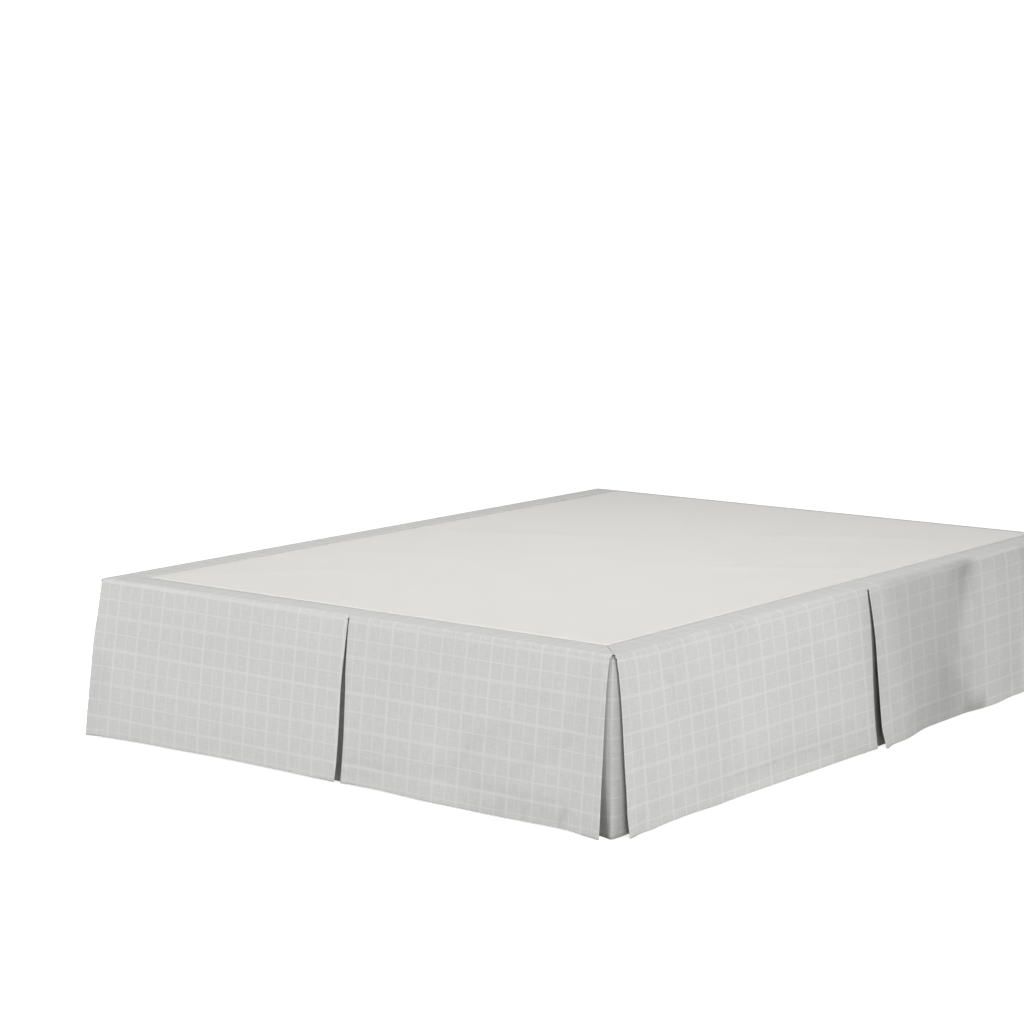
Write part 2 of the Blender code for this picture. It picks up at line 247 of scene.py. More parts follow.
threads = calc(weave, "ADD", calc(weave, "MULTIPLY", warp, over),
               calc(weave, "MULTIPLY", weft, calc(weave, "SUBTRACT", 1.0, over)))
# the scales are grains a metre, across and along the cloth
warp_slub = stretched_noise(weave, w_in["Cloth"], (360.0, 40.0, 1.0))
weft_slub = stretched_noise(weave, w_in["Cloth"], (40.0, 340.0, 1.0))
grain = stretched_noise(weave, w_in["Cloth"], (260.0, 260.0, 1.0), detail=1.0)
mottle = stretched_noise(weave, w_in["Cloth"], (75.0, 75.0, 1.0), detail=4.0)
slub = calc(weave, "SUBTRACT", calc(weave, "ADD", warp_slub, weft_slub), 1.0)
spots, specks = calc(weave, "SUBTRACT", mottle, 0.5), calc(weave, "SUBTRACT", grain, 0.5)
tone = calc(weave, "ADD", calc(weave, "MULTIPLY", slub, w_in["Slub"]),
            calc(weave, "MULTIPLY", spots, w_in["Mottle"]))
tone = calc(weave, "ADD", tone, calc(weave, "MULTIPLY", specks, w_in["Grain"]))
weave.links.new(calc(weave, "ADD", tone, 0.5, clamp=True), w_out["Tone"])
uneven = calc(weave, "MULTIPLY", slub, SLUB_RISE)
weave.links.new(calc(weave, "ADD", threads, uneven), w_out["Height"])
print("weave group:", len(weave.nodes), "nodes")

# %% [markdown]
# ## The woven check
#
# Pale threads make the check: single thin lines and paired lines by turns, both ways. The
# weaver counts threads, so the pattern belongs to the cloth and has to follow it over
# every fold. Each panel therefore carries a map that counts half cells: thin lines lie on
# odd numbers, pairs on even ones, and every second pair stands wider apart.

# %% Check group
CROSSING_LIFT = 0.35
check, c_in, c_out = new_group(
    "woven check",
    [
        ("Count", VECTOR, None), ("Thread Width", FLOAT, 0.031), ("Softness", FLOAT, 0.012),
        ("Near Pair", FLOAT, 0.043), ("Far Pair", FLOAT, 0.053),
    ],
    [("Lines", FLOAT)],
)


def spacing_from(tree, value, every, shift):
    """Distance to the nearest of the numbers shift, shift + every, ..."""
    turns = calc(tree, "DIVIDE", calc(tree, "SUBTRACT", value, shift), every)
    part = calc(tree, "SUBTRACT", calc(tree, "FRACT", calc(tree, "ADD", turns, 0.5)), 0.5)
    return calc(tree, "MULTIPLY", calc(tree, "ABSOLUTE", part), every)


def pale_lines(tree, count):
    """The lines of one direction: 1 on a line and 0 beside it."""
    width, soft = c_in["Thread Width"], c_in["Softness"]
    inner, outer = calc(tree, "SUBTRACT", width, soft), calc(tree, "ADD", width, soft)
    thin = fade(tree, spacing_from(tree, count, 2.0, 1.0), inner, outer, 1.0, 0.0)
    wide_turn = calc(tree, "LESS_THAN", spacing_from(tree, count, 4.0, 0.0), 1.0)
    apart = calc(tree, "ADD", calc(tree, "MULTIPLY", wide_turn, c_in["Far Pair"]),
                 calc(tree, "MULTIPLY", calc(tree, "SUBTRACT", 1.0, wide_turn), c_in["Near Pair"]))
    from_middle = spacing_from(tree, count, 2.0, 0.0)
    from_pair = calc(tree, "ABSOLUTE", calc(tree, "SUBTRACT", from_middle, apart))
    return calc(tree, "MAXIMUM", thin, fade(tree, from_pair, inner, outer, 1.0, 0.0))


counts = axes_of(check, c_in["Count"])
warp_lines, weft_lines = pale_lines(check, counts[0]), pale_lines(check, counts[1])
stronger = calc(check, "MAXIMUM", warp_lines, weft_lines)
crossing = calc(check, "MULTIPLY", calc(check, "MULTIPLY", warp_lines, weft_lines), CROSSING_LIFT)
check.links.new(calc(check, "ADD", stronger, crossing), c_out["Lines"])
print("check group:", len(check.nodes), "nodes")

# %% [markdown]
# ## Handling marks
#
# Cloth that has been packed, pressed and hung isn't one even tone. Broad noise, a little
# paler or darker, breaks the flatness. The same marks serve cloth and wood.

# %% Handling group
handling, h_in, h_out = new_group(
    "handling marks",
    [("Place", VECTOR, None), ("Size", FLOAT, 4.0), ("Amount", FLOAT, 0.05)],
    [("Shade", FLOAT)],
)
cloudy = handling.nodes.new("ShaderNodeTexNoise")
cloudy.inputs["Detail"].default_value = 3.0
handling.links.new(h_in["Place"], cloudy.inputs["Vector"])
handling.links.new(h_in["Size"], cloudy.inputs["Scale"])
swing = calc(handling, "SUBTRACT", cloudy.outputs[0], 0.5)
swing = calc(handling, "MULTIPLY", swing, h_in["Amount"])
handling.links.new(calc(handling, "ADD", swing, 1.0), h_out["Shade"])
print("handling group:", len(handling.nodes), "nodes")

# %% [markdown]
# ## Cloth materials
#
# Cotton scatters light in all directions, so it is rough and hardly shines. A little sheen
# stands for the fuzz. Base colour comes from the thread tone, then the check, then the
# handling marks. The weave also feeds a fine bump, which matters only close up. Dents,
# broad patches and the insides of slits carry a painted tone in per cent, kept on the mesh:
# painted shade where it darkens the cloth, painted light where it pales it.


# %% Material helpers
SHINE = 0.25


def grey(value):
    return (value, value, value, 1.0)


def new_material(name, roughness):
    """A material, its node tree and its shader."""
    material = bpy.data.materials.new(name)
    material.use_nodes = True
    tree = material.node_tree
    shader = tree.nodes["Principled BSDF"]
    shader.inputs["Roughness"].default_value = roughness
    shader.inputs["Specular IOR Level"].default_value = SHINE
    return material, tree, shader


def map_of(tree, name):
    node = tree.nodes.new("ShaderNodeUVMap")
    node.uv_map = name
    return node.outputs[0]


def bump(tree, shader, height, strength, distance):
    node = tree.nodes.new("ShaderNodeBump")
    node.inputs["Strength"].default_value = strength
    node.inputs["Distance"].default_value = distance
    tree.links.new(height, node.inputs["Height"])
    tree.links.new(node.outputs[0], shader.inputs["Normal"])


def paler(colour, share):
    """A colour made paler or darker by a share, as a shader needs it."""
    return tuple(min(c * share, 1.0) for c in colour) + (1.0,)


def woven_cloth(tree, threads, slub, fine, mottled):
    """The weave on the cloth's own map."""
    values = {"Threads": threads, "Slub": slub, "Grain": fine, "Mottle": mottled}
    return place_group(tree, weave, Cloth=map_of(tree, "cloth"), **values)


print("material helpers ready, shine", SHINE)

# %% Cloth materials
FACE_COLOUR, DECK_COLOUR = (0.587, 0.586, 0.575), (0.74, 0.73, 0.70)
CHECK_LIFT, LINE_RISE, LINE_LIMIT, PER_CENT = 1.118, 0.5, 1.3, 0.01


def cloth_material(name, colour, dark, light, threads, slub, fine, mottled, checked=False):
    material, tree, shader = new_material(name, roughness=0.92)
    shader.inputs["Sheen Weight"].default_value = 0.06
    shader.inputs["Sheen Roughness"].default_value = 0.6
    woven = woven_cloth(tree, threads, slub, fine, mottled)
    shade = blend_colour(tree, woven["Tone"], paler(colour, dark), paler(colour, light))
    height = woven["Height"]
    handled = place_group(tree, handling, Place=map_of(tree, "cloth"), Size=5.0, Amount=0.045)
    marks = handled["Shade"]
    if checked:
        lines = place_group(tree, check, Count=map_of(tree, "check"))["Lines"]
        strength = calc(tree, "MINIMUM", lines, LINE_LIMIT)
        shade = blend_colour(tree, strength, shade, paler(colour, CHECK_LIFT))
        height = calc(tree, "ADD", height, calc(tree, "MULTIPLY", lines, LINE_RISE))
        # painted light and shade kept on the mesh in per cent: it darkens or pales the base colour
        painted_shading = tree.nodes.new("ShaderNodeAttribute")
        painted_shading.attribute_name = "painted_light_and_shade"
        painted_factor = calc(tree, "MULTIPLY_ADD", painted_shading.outputs["Fac"], PER_CENT, 1.0)
        marks = calc(tree, "MULTIPLY", marks, painted_factor)
    shaded = tree.nodes.new("ShaderNodeVectorMath")
    shaded.operation = "SCALE"
    tree.links.new(shade, shaded.inputs[0])
    tree.links.new(marks, shaded.inputs["Scale"])
    tree.links.new(shaded.outputs[0], shader.inputs["Base Color"])
    bump(tree, shader, height, strength=0.25, distance=0.0002)
    return material


# name, colour, its darkest and palest share, threads a metre, slub, grain and mottle
face_cloth = cloth_material("face_cloth", FACE_COLOUR, 0.90, 1.10, 1100.0, 0.7, 0.9, 0.4, True)
deck_cloth = cloth_material("deck_cloth", DECK_COLOUR, 0.97, 1.03, 1900.0, 0.6, 0.4, 0.5)
print("cloth materials:", face_cloth.name, deck_cloth.name)

# %% [markdown]
# ## Sizes of the skirt
#
# These are the maker's sizes, the same as in the fixed model. Tables say how each panel's
# hem hangs, where its folded ends lie, and where soft folds reach up the drop. Reading a
# table smoothly gives a curve with few numbers.

# %% Sizes
BED_WIDTH, BED_LENGTH, DROP = 1.524, 2.032, 0.381
BORDER, EDGE_RADIUS, RETURN_DEPTH, HEM_DEPTH = 0.075, 0.008, 0.038, 0.050
FOOT_PLEAT, SIDE_PLEAT = 0.7975, 1.023
CLOTH, BEND_RADIUS, SEAM_GAP = 0.0008, 0.0013, 0.0003
SPLAY_TOP, SPLAY_HEM = 0.02, 0.18
HEM_BELLY, SWAY_POWER = 0.25, 1.5
TOP, FOOT_Y = 0.3823, -0.9855
HEAD_Y, BED_CENTRE_Y = FOOT_Y + BED_LENGTH, FOOT_Y + BED_LENGTH / 2
print("bed", BED_WIDTH, "x", BED_LENGTH, "m, drop", DROP, "m")

# %% How the hems hang
# place along the edge, how far the hem stands out, how far it sways along and its lift, in mm
HEM_COLUMNS = ("along", "out", "sway", "lift")
HEMS = {
    "foot_left": (
        (0, 61, -5, -1.5), (50, 46, -9, 0), (120, 36, -12, 1), (250, 30, -13, 2.3),
        (450, 28, -13, 4.1), (650, 29, -13, 3.6), (797, 32, -11, 1.8),
    ),
    "foot_right": (
        (797, 32, -11, 1.8), (840, 30.5, -11, 3.6), (900, 29, -10, 4.6), (1050, 29, -8, 0.5),
        (1120, 29, -7, -0.4), (1180, 30, -6, 0.6), (1250, 30, -5, 0.8), (1400, 33, -2, 3),
        (1445, 37, -1, 1.8), (1470, 41, 0, -0.6), (1524, 52, 0, -2.5),
    ),
    "right_front": (
        (0, 43, -6, 0.5), (60, 36, 1, 0.6), (85, 35.6, 3, -0.4), (115, 35.3, 4.5, 1.5),
        (200, 35, 7, 2.8), (265, 35, 6.5, 2), (325, 35, 6, 0.2), (390, 35, 5, 0.8),
        (450, 35, 4, 0.8), (700, 40, 0, -0.9), (900, 48, -8, 0), (1023, 58, -19, -0.2),
    ),
    "right_rear": (
        (1023, 68, -19, -3), (1080, 62, -16, -1.4), (1150, 57, -14, -1.8), (1250, 41, -8, 2.3),
        (1350, 33, -3, 0.2), (1450, 33, 0, -1), (1550, 43, -5, -0.5), (1620, 46, -8, -0.5),
        (1700, 40, -8, 1), (1800, 36, -8, -0.2), (2032, 34, -4, 0),
    ),
    "left_front": (
        (0, 46, -4, 0), (70, 37, 0, 2), (240, 33, 4, 3), (520, 36, 2, 1),
        (780, 43, -4, 1), (1023, 60, -16, 0),
    ),
    "left_rear": (
        (1023, 70, -16, 0), (1120, 56, -12, 1), (1260, 40, -6, 2), (1400, 34, -2, 1),
        (1530, 43, -4, 0), (1660, 37, -4, 1), (1840, 34, -2, 1), (2032, 36, -2, 0),
    ),
}
print("hem places:", {panel: len(rows) for panel, rows in HEMS.items()})

# %% Soft folds and curled tips
# panel, place at the top, halfway and at the hem, half width before and after the place, and
# how far out the fold stands at the top and at the hem
FOLDS = (
    ("right_rear", 1540, 1468, 1485, 125, 44, -12, -2),
    ("left_rear", 1390, 1405, 1420, 80, 80, -4, 0),
    ("left_rear", 1490, 1510, 1530, 75, 75, 4, 0),
    ("foot_right", 1090, 1100, 1110, 90, 90, 0, -3),
    ("foot_left", 330, 315, 300, 100, 100, -1, 2),
)
FOLD_FULL_AT = 0.12
# panel whose start corner curls forward at the hem, and how far
TIPS = (("right_rear", 5), ("right_front", 3), ("left_rear", 6))
TIP_REACH, TIP_START = 0.045, 0.86
print("soft folds:", len(FOLDS), "curled tips:", len(TIPS))

# %% Panels and their folded ends
# name, edge, start, end, kind of start, kind of end
PANELS = (
    ("foot_left", "foot", 0.0, FOOT_PLEAT, "corner_left", "foot_pleat_left"),
    ("foot_right", "foot", FOOT_PLEAT, BED_WIDTH, "foot_pleat_right", "corner_foot"),
    ("right_front", "right", 0.0, SIDE_PLEAT, "corner_side", "side_pleat_front"),
    ("right_rear", "right", SIDE_PLEAT, BED_LENGTH, "side_pleat_rear", "head"),
    ("left_front", "left", 0.0, SIDE_PLEAT, "corner_side", "side_pleat_front"),
    ("left_rear", "left", SIDE_PLEAT, BED_LENGTH, "side_pleat_rear", "head"),
)
# depth down the drop, and how far along each kind of end lies there, in millimetres
END_COLUMNS = (
    "depth", "corner_left", "foot_pleat_left", "foot_pleat_right", "corner_foot",
    "corner_side", "side_pleat_front", "side_pleat_rear",
)
ENDS = (
    (0.00, 5.5, -1.2, 1.5, -12.5, 2.5, -1.5, 3.5),
    (0.07, 5.5, -3.4, -0.3, -15.2, 6.0, -5.0, 4.0),
    (0.20, 4.0, -7.2, -1.3, -15.0, 5.8, -7.8, 2.8),
    (0.33, 1.0, -11.0, -1.2, -13.4, 3.8, -14.0, -0.3),
    (0.45, -0.5, -13.2, 0.5, -11.3, 0.8, -20.0, -6.5),
    (0.60, -0.8, -13.6, 1.3, -8.8, -2.4, -28.5, -13.5),
    (0.75, -1.2, -14.6, 1.6, -7.0, -3.4, -34.0, -19.5),
    (0.88, -2.2, -17.2, -0.3, -5.0, -6.0, -36.0, -22.5),
    (1.00, -1.8, -21.9, -2.8, -4.0, -7.5, -34.0, -19.5),
)
print("panels:", [row[0] for row in PANELS])

# %% [markdown]
# ## Small creases
#
# Folds that shape the outline are in the tables above. Cloth also keeps faint marks: the
# press line at the top of the hem, short diagonal pulls and soft dents. They are too fine
# for a simulation to place, so each is a short trough between two points of the cloth. A
# mark also carries a painted tone, painted shade where darker and painted light where paler,
# because the soft light alone shades such a shallow form too little. Rows without height are
# broad patches of painted light and shade.

# %% Creases
# first end (along, down), second end (along, down), half width, height, and painted light (above
# 0) and shade (below 0) in per cent
CREASES = {
    "foot_left": (
        (0, 10, 797, 10, 120, 0.0, 4.3), (120, 210, 740, 210, 230, 0.0, 2.8),
        (200, 376, 760, 376, 28, 0.0, 2.5), (12, 345, 22, 200, 55, -1.0, -6),
        (50, 230, 62, 300, 50, 0.0, -3), (300, 60, 360, 180, 50, 0.7, 0),
    ),
    "foot_right": (
        (1210, 250, 1440, 180, 160, 0.0, -3), (1480, 15, 1480, 110, 90, 0.0, -3),
        (1190, 335, 1430, 335, 75, 0.0, -3), (1064, 308, 1117, 294, 24, -0.9, -4.5),
        (1130, 274, 1175, 222, 28, -1.0, -3.5), (1210, 207, 1260, 180, 28, -0.8, -3),
        (1277, 281, 1343, 243, 27, -1.0, -4), (1370, 222, 1417, 188, 25, -1.0, -4),
        (1290, 114, 1357, 105, 30, -0.6, -3), (1247, 366, 1258, 345, 15, -1.6, -9),
        (1312, 364, 1320, 348, 14, -1.2, -7), (1360, 362, 1368, 345, 13, -1.0, -6),
        (1405, 368, 1424, 338, 16, -1.8, -11), (1190, 370, 1420, 372, 26, 0.0, -4),
        (805, 324, 950, 327, 14, -0.3, -5), (815, 354, 890, 350, 15, -0.3, -4),
        (1180, 320, 1410, 323, 15, -0.3, -4), (1300, 345, 1400, 350, 40, 0.0, -4),
        (821, 290, 1010, 300, 75, 0.0, -2.5), (821, 10, 990, 20, 80, 0.0, 2.5),
    ),
    "right_front": (
        (560, 30, 900, 50, 170, 0.0, 9), (770, 20, 850, 90, 80, 0.0, 2.5),
        (330, 20, 420, 110, 120, 0.0, 5), (480, 235, 860, 235, 170, 0.0, 7),
        (400, 376, 800, 376, 36, 0.0, 9.5), (130, 360, 380, 362, 30, 0.0, 3),
        (740, 130, 745, 190, 50, 0.0, 2.5), (20, 20, 30, 140, 75, 0.0, -3.5),
        (72, 180, 100, 330, 60, 0.0, -3), (400, 331, 560, 332, 5, -0.4, -6),
        (540, 332, 720, 331, 5, -0.4, -4), (700, 331, 800, 333, 6, -0.4, -4),
        (780, 333, 940, 332, 5, -0.3, -4), (560, 318, 900, 312, 22, -0.5, -2.5),
        (185, 75, 198, 112, 20, -0.8, -4), (1005, 60, 1000, 370, 45, 0.0, -4),
        (165, 352, 185, 352, 14, -1.0, -6), (45, 347, 60, 345, 15, -0.7, -5),
        (285, 342, 298, 340, 13, -0.6, -4), (560, 120, 640, 220, 45, 0.8, 0),
    ),
    "right_rear": (
        (1230, 10, 1275, 370, 170, 0.0, -10), (1140, 10, 1150, 190, 60, 0.0, -3.5),
        (1420, 10, 1370, 350, 130, 0.0, -11.5), (1310, 20, 1330, 300, 70, 0.0, -3),
        (1516, 4, 1500, 70, 42, 0.0, -9), (1492, 90, 1462, 200, 44, 0.0, -6),
        (1385, 275, 1415, 345, 75, 0.0, -7), (1440, 300, 1490, 350, 45, 0.0, -7),
        (1156, 347, 1450, 345, 20, -0.3, -3), (1180, 331, 1420, 331, 5, -0.5, -4),
        (1463, 374, 1560, 360, 26, -2.2, -14), (1500, 380, 1555, 376, 20, 0.0, -12),
        (1478, 8, 1528, 20, 55, 0.0, -11), (1525, 40, 1525, 75, 50, 0.0, -11),
        (1484, 230, 1484, 360, 40, 0.0, -9), (1515, 374, 1545, 374, 20, 0.0, -6),
        (1047, 290, 1047, 375, 40, 0.0, 6), (1490, 50, 1475, 130, 35, 0.0, -4),
        (1815, 240, 1815, 375, 48, 0.0, 12), (1825, 5, 1825, 55, 50, 0.0, -8),
        (1590, 368, 1720, 368, 32, 0.0, 5), (1640, 90, 1640, 375, 150, 0.0, 11),
        (1800, 60, 1800, 375, 120, 0.0, 10), (1730, 372, 1840, 372, 50, 0.0, 7),
    ),
    "left_front": (
        (300, 331, 700, 331, 5, -0.5, -5), (500, 90, 560, 230, 45, -0.9, -3),
        (210, 366, 230, 340, 15, -1.2, -6),
    ),
    "left_rear": (
        (1300, 331, 1600, 331, 5, -0.5, -5), (1500, 40, 1460, 300, 38, -1.4, -5),
    ),
}
HEM_PRESS_DEPTH, HEM_PRESS_HEIGHT, HEM_PRESS_HALF = 331.0, -0.18, 3.0
print("creases:", sum(len(rows) for rows in CREASES.values()))

# %% Crease formulas
DRIFT_HEIGHT, DRIFT_ALONG, DRIFT_DOWN, DRIFT_SEED, DRIFT_FULL_AT = 0.5, 9.0, 3.0, 3.7, 0.15


def ease(value):
    """A soft step from 0 to 1."""
    value = min(max(value, 0.0), 1.0)
    return value * value * (3 - 2 * value)


def near_line(x, y, x0, y0, x1, y1, half_width):
    """How near a point lies to a short line: 1 on it, 0 beyond its half width."""
    run = (x1 - x0, y1 - y0)
    share = ((x - x0) * run[0] + (y - y0) * run[1]) / (run[0] ** 2 + run[1] ** 2)
    held = min(max(share, 0.0), 1.0)
    away = math.hypot(x - x0 - held * run[0], y - y0 - held * run[1])
    return ease(1 - away / half_width)


def crease_marks(panel, along, depth):
    """How far a panel's fine marks stand out, in metres, and their painted light and shade in per
    cent.
    """
    x, y = along / MM, depth * DROP / MM
    pressed = max(0.0, 1 - abs(y - HEM_PRESS_DEPTH) / HEM_PRESS_HALF)
    out, tone = HEM_PRESS_HEIGHT * ease(pressed), 0.0
    for x0, y0, x1, y1, half_width, height, painted_tone in CREASES[panel]:
        if min(x0, x1) - half_width < x < max(x0, x1) + half_width:
            near = near_line(x, y, x0, y0, x1, y1, half_width)
            out += height * near
            # painted light where the tone is above zero, painted shade where it is below
            tone += painted_tone * near
    drift = noise.noise(Vector((along * DRIFT_ALONG, depth * DRIFT_DOWN, len(panel) * DRIFT_SEED)))
    return (out + DRIFT_HEIGHT * drift * ease(depth / DRIFT_FULL_AT)) * MM, tone


print("tone in the corner's dent:", round(crease_marks("foot_right", 1.412, 0.93)[1]), "per cent")

# %% [markdown]
# ## How a panel hangs
#
# Cloth keeps its length, so a hem that stands out also rises. Each point of a panel is
# worked out from its place along the bed and its depth down the drop. Formulas are used in
# place of a cloth simulation, because these folds were pressed in by hand and stay put.


# %% Reading a table
def read_table(rows, place, column):
    """A smooth value from a table whose first column is the place."""
    last = len(rows) - 1
    if place <= rows[0][0]:
        return rows[0][column]
    if place >= rows[last][0]:
        return rows[last][column]
    index = next(i for i in range(last) if place <= rows[i + 1][0])

    def slope(i):
        before, after = rows[max(i - 1, 0)], rows[min(i + 1, last)]
        return (after[column] - before[column]) / (after[0] - before[0])

    low, high = rows[index], rows[index + 1]
    span = high[0] - low[0]
    x = (place - low[0]) / span
    rise = 3 * x**2 - 2 * x**3
    return (
        low[column] * (1 - rise)
        + high[column] * rise
        + slope(index) * span * (x**3 - 2 * x**2 + x)
        + slope(index + 1) * span * (x**3 - x**2)
    )


def hem_value(panel, along, column):
    """A measure of a panel's hem, in metres."""
    return read_table(HEMS[panel], along / MM, HEM_COLUMNS.index(column)) * MM


print("the hem of the foot lifts", round(hem_value("foot_left", 0.45, "lift") / MM, 1), "mm")


# %% Bellies, folds and tips
def belly(depth):
    """The drop leans out faster near the top than at the hem."""
    return depth * (1 + HEM_BELLY - HEM_BELLY * depth)


def fold_out(panel, along, depth):
    """How far the soft folds stand out at a point."""
    total = 0.0
    for name, top, middle, hem, before, after, out_top, out_hem in FOLDS:
        bow = 4 * (middle - (top + hem) / 2) * depth * (1 - depth)
        past = along / MM - (top + (hem - top) * depth + bow)
        distance = abs(past) / (after if past > 0 else before)
        if name == panel and distance < 1:
            strength = (out_top + (out_hem - out_top) * depth) * MM * ease(depth / FOLD_FULL_AT)
            total += strength * (1 + math.cos(math.pi * distance)) / 2
    return total


def tip_curl(panel, start, along, depth):
    """How far a panel's start corner curls forward at a point."""
    for name, out_by in TIPS:
        if name == panel:
            near = ease(1 - (along - start) / TIP_REACH)
            return out_by * MM * near * ease((depth - TIP_START) / (1 - TIP_START))
    return 0.0


print("soft fold of the right side:", round(fold_out("right_rear", 1.54, 0.13) / MM), "mm out")


# %% Points of a drop
CLOTH_PASSES = 4


def sway_at(panel, cloth, depth):
    """How far a point of the cloth lies along from where it would hang straight."""
    return hem_value(panel, cloth, "sway") * (1 - (1 - depth) ** SWAY_POWER)


def cloth_at(panel, along, depth):
    """The place in the cloth that hangs at a place along the bed's edge."""
    cloth = along
    for _ in range(CLOTH_PASSES):
        cloth = along - sway_at(panel, cloth, depth)
    return cloth


def drop_point(panel, start, cloth, depth):
    """A point of a panel's face: along the edge, out from it, and its height."""
    hem_out = hem_value(panel, cloth, "out")
    hem_height = TOP - math.sqrt(DROP**2 - hem_out**2) + hem_value(panel, cloth, "lift")
    out = hem_out * belly(depth) + fold_out(panel, cloth, depth)
    out += tip_curl(panel, start, cloth, depth) + crease_marks(panel, cloth, depth)[0]
    return cloth + sway_at(panel, cloth, depth), out, TOP + (hem_height - TOP) * depth


print("hem of the foot stands out", round(drop_point("foot_left", 0.0, 0.4, 1.0)[1] / MM), "mm")


# %% Places along the bed's edge
MITRE_SLANT = math.radians(8.0)


def place(edge, along, out, height):
    """World position of a point given along a bed edge and out from it."""
    if edge == "foot":
        return Vector((along - BED_WIDTH / 2, FOOT_Y - out, height))
    side = 1 if edge == "right" else -1
    return Vector((side * (BED_WIDTH / 2 + out), FOOT_Y + along, height))


def end_offset(kind, depth):
    """How far along a folded end lies from its slit or corner."""
    return 0.0 if kind == "head" else read_table(ENDS, depth, END_COLUMNS.index(kind)) * MM


def top_setback(kind, out, angle):
    """Along the top: a mitre at a corner, a seam at a pleat."""
    if kind == "head":
        return 0.0
    if "pleat" in kind:
        return SEAM_GAP / 2
    mitre = -out + CLOTH * math.sin(angle + MITRE_SLANT) + SEAM_GAP
    return max(mitre, abs(end_offset(kind, 0.0)) if angle > 0 else 0.0)


print("foot slit at", [round(v, 3) for v in place("foot", FOOT_PLEAT, 0.0, TOP)])

# %% [markdown]
# ## Counting the check
#
# Between them the count grows evenly. On the sides the cells are wider, and the top of the
# cloth is pulled a little towards the foot where it turns over the edge. Loose cloth also
# shears as it hangs, so a short table says how far the lines have slipped at the top and at
# the hem. A single even repeat would be simpler, but its lines would look printed on.

# %% Check counts
# known lines: (place in millimetres, count), along each panel and down its drop
COUNT_ALONG = {
    "foot_left": ((36, 1), (325, 9), (613, 17), (788, 22)),
    "foot_right": ((821, 23), (964, 27), (1102, 31), (1237, 35), (1370, 39), (1499, 43)),
    "right_front": (
        (-14, -2), (71, 0), (159, 2), (251, 4), (347, 6), (546, 10), (754, 14), (865, 16),
        (973, 18),
    ),
    "right_rear": (
        (1020, 19), (1076, 20), (1200, 22), (1333, 24), (1464, 26), (1519, 27), (1578, 28),
        (1725, 30), (1797, 31),
    ),
    "left_front": ((0, 0), (98, 2)),
    "left_rear": ((0, 0), (98, 2)),
}
COUNT_DOWN = {
    "foot_left": ((8, 2), (91, 4), (171, 6), (256, 8), (337, 10), (371, 11)),
    "foot_right": ((13, 2), (92, 4), (172, 6), (255, 8), (336, 10), (370, 11)),
    "right_front": ((15.6, 2), (93, 4), (169.5, 6), (247, 8), (323, 10), (362, 11)),
    "right_rear": ((9, 2), (87, 4), (166, 6), (244, 8), (323, 10), (362, 11)),
    "left_front": ((15.6, 2), (93, 4)),
    "left_rear": ((15.6, 2), (93, 4)),
}
print("known lines:", {panel: len(rows) for panel, rows in COUNT_ALONG.items()})

# %% Pulls and slips of the check
# place, pull towards the foot at the top, rise of the lines at the top, in millimetres
PULLS = {
    "right_front": ((0, 9, 0), (1023, 9, 0)),
    "right_rear": ((1023, 9, 0), (1330, 10, 0), (1465, 19, 2), (1560, 10, 7), (2032, 10, 7)),
}
PULL_DEPTH = 0.10
# how far the lines have slipped, in millimetres, with the top and the hem in turn:
# place, along at the top, along at the hem, down at the top, down at the hem
SLIPS = {
    "foot_left": (
        (15, -0.2, -0.4, -1.6, -7.9), (110, 3.5, -6.7, -1.7, -4.2), (200, 4.3, -6.5, -1.4, -1.7),
        (330, 1.7, -3.2, -0.5, -0.4), (480, 1.7, -2.7, 0.1, 0.7), (640, 0.9, -1.9, 1.1, -0.2),
        (785, 0.2, 0.6, 2.1, -2.4),
    ),
    "foot_right": (
        (810, -0.1, -0.1, -1.0, 0.9), (900, 0.8, -1.8, -0.6, 2.1), (1010, 1.4, -3.7, 0.0, -0.4),
        (1110, 1.9, -5.4, 0.4, -1.9), (1240, 1.6, -3.8, 1.5, -2.9), (1370, 0.5, -3.5, 2.4, -1.8),
        (1440, -0.2, -2.3, 2.8, -3.6), (1505, -1.0, -1.4, 3.1, -8.2),
    ),
    "right_front": (
        (10, 3.5, 0.5, -2.6, -4.3), (70, 0.1, -0.7, -0.3, -4.0), (130, -4.2, 2.6, 1.8, -1.3),
        (300, -3.0, 2.8, 2.2, -1.7), (500, -3.5, 2.9, 1.0, -0.8), (700, -1.1, 0.4, 0.1, -2.2),
        (880, 0.8, -3.2, -1.5, 0.0), (1010, 0.9, -0.7, -1.8, -1.7),
    ),
    "right_rear": (
        (1035, 2.9, -9.2, 3.6, -0.6), (1110, 7.0, -12.0, 3.9, -1.5), (1190, 7.3, -8.9, 2.7, -3.4),
        (1270, 3.2, -2.3, 1.4, -0.4), (1350, 0.2, 0.6, 0.1, 0.9), (1400, 2.5, 1.1, 1.4, 1.9),
        (1450, 11.4, -1.4, 4.1, 1.4), (1530, 10.2, -6.4, 4.0, -0.1), (1610, 10.6, -7.8, 4.1, -0.1),
        (1700, 4.9, -6.0, 2.5, 2.6), (1830, 1.2, -1.4, 0.0, 2.9),
    ),
}
print("slips:", {panel: len(rows) for panel, rows in SLIPS.items()})


# %% Counting
def count_at(rows, where):
    """The check's count at a place, carried on evenly past the known lines."""
    index = 0
    while index < len(rows) - 2 and where > rows[index + 1][0]:
        index += 1
    (x0, n0), (x1, n1) = rows[index:index + 2]
    return n0 + (n1 - n0) * (where - x0) / (x1 - x0)


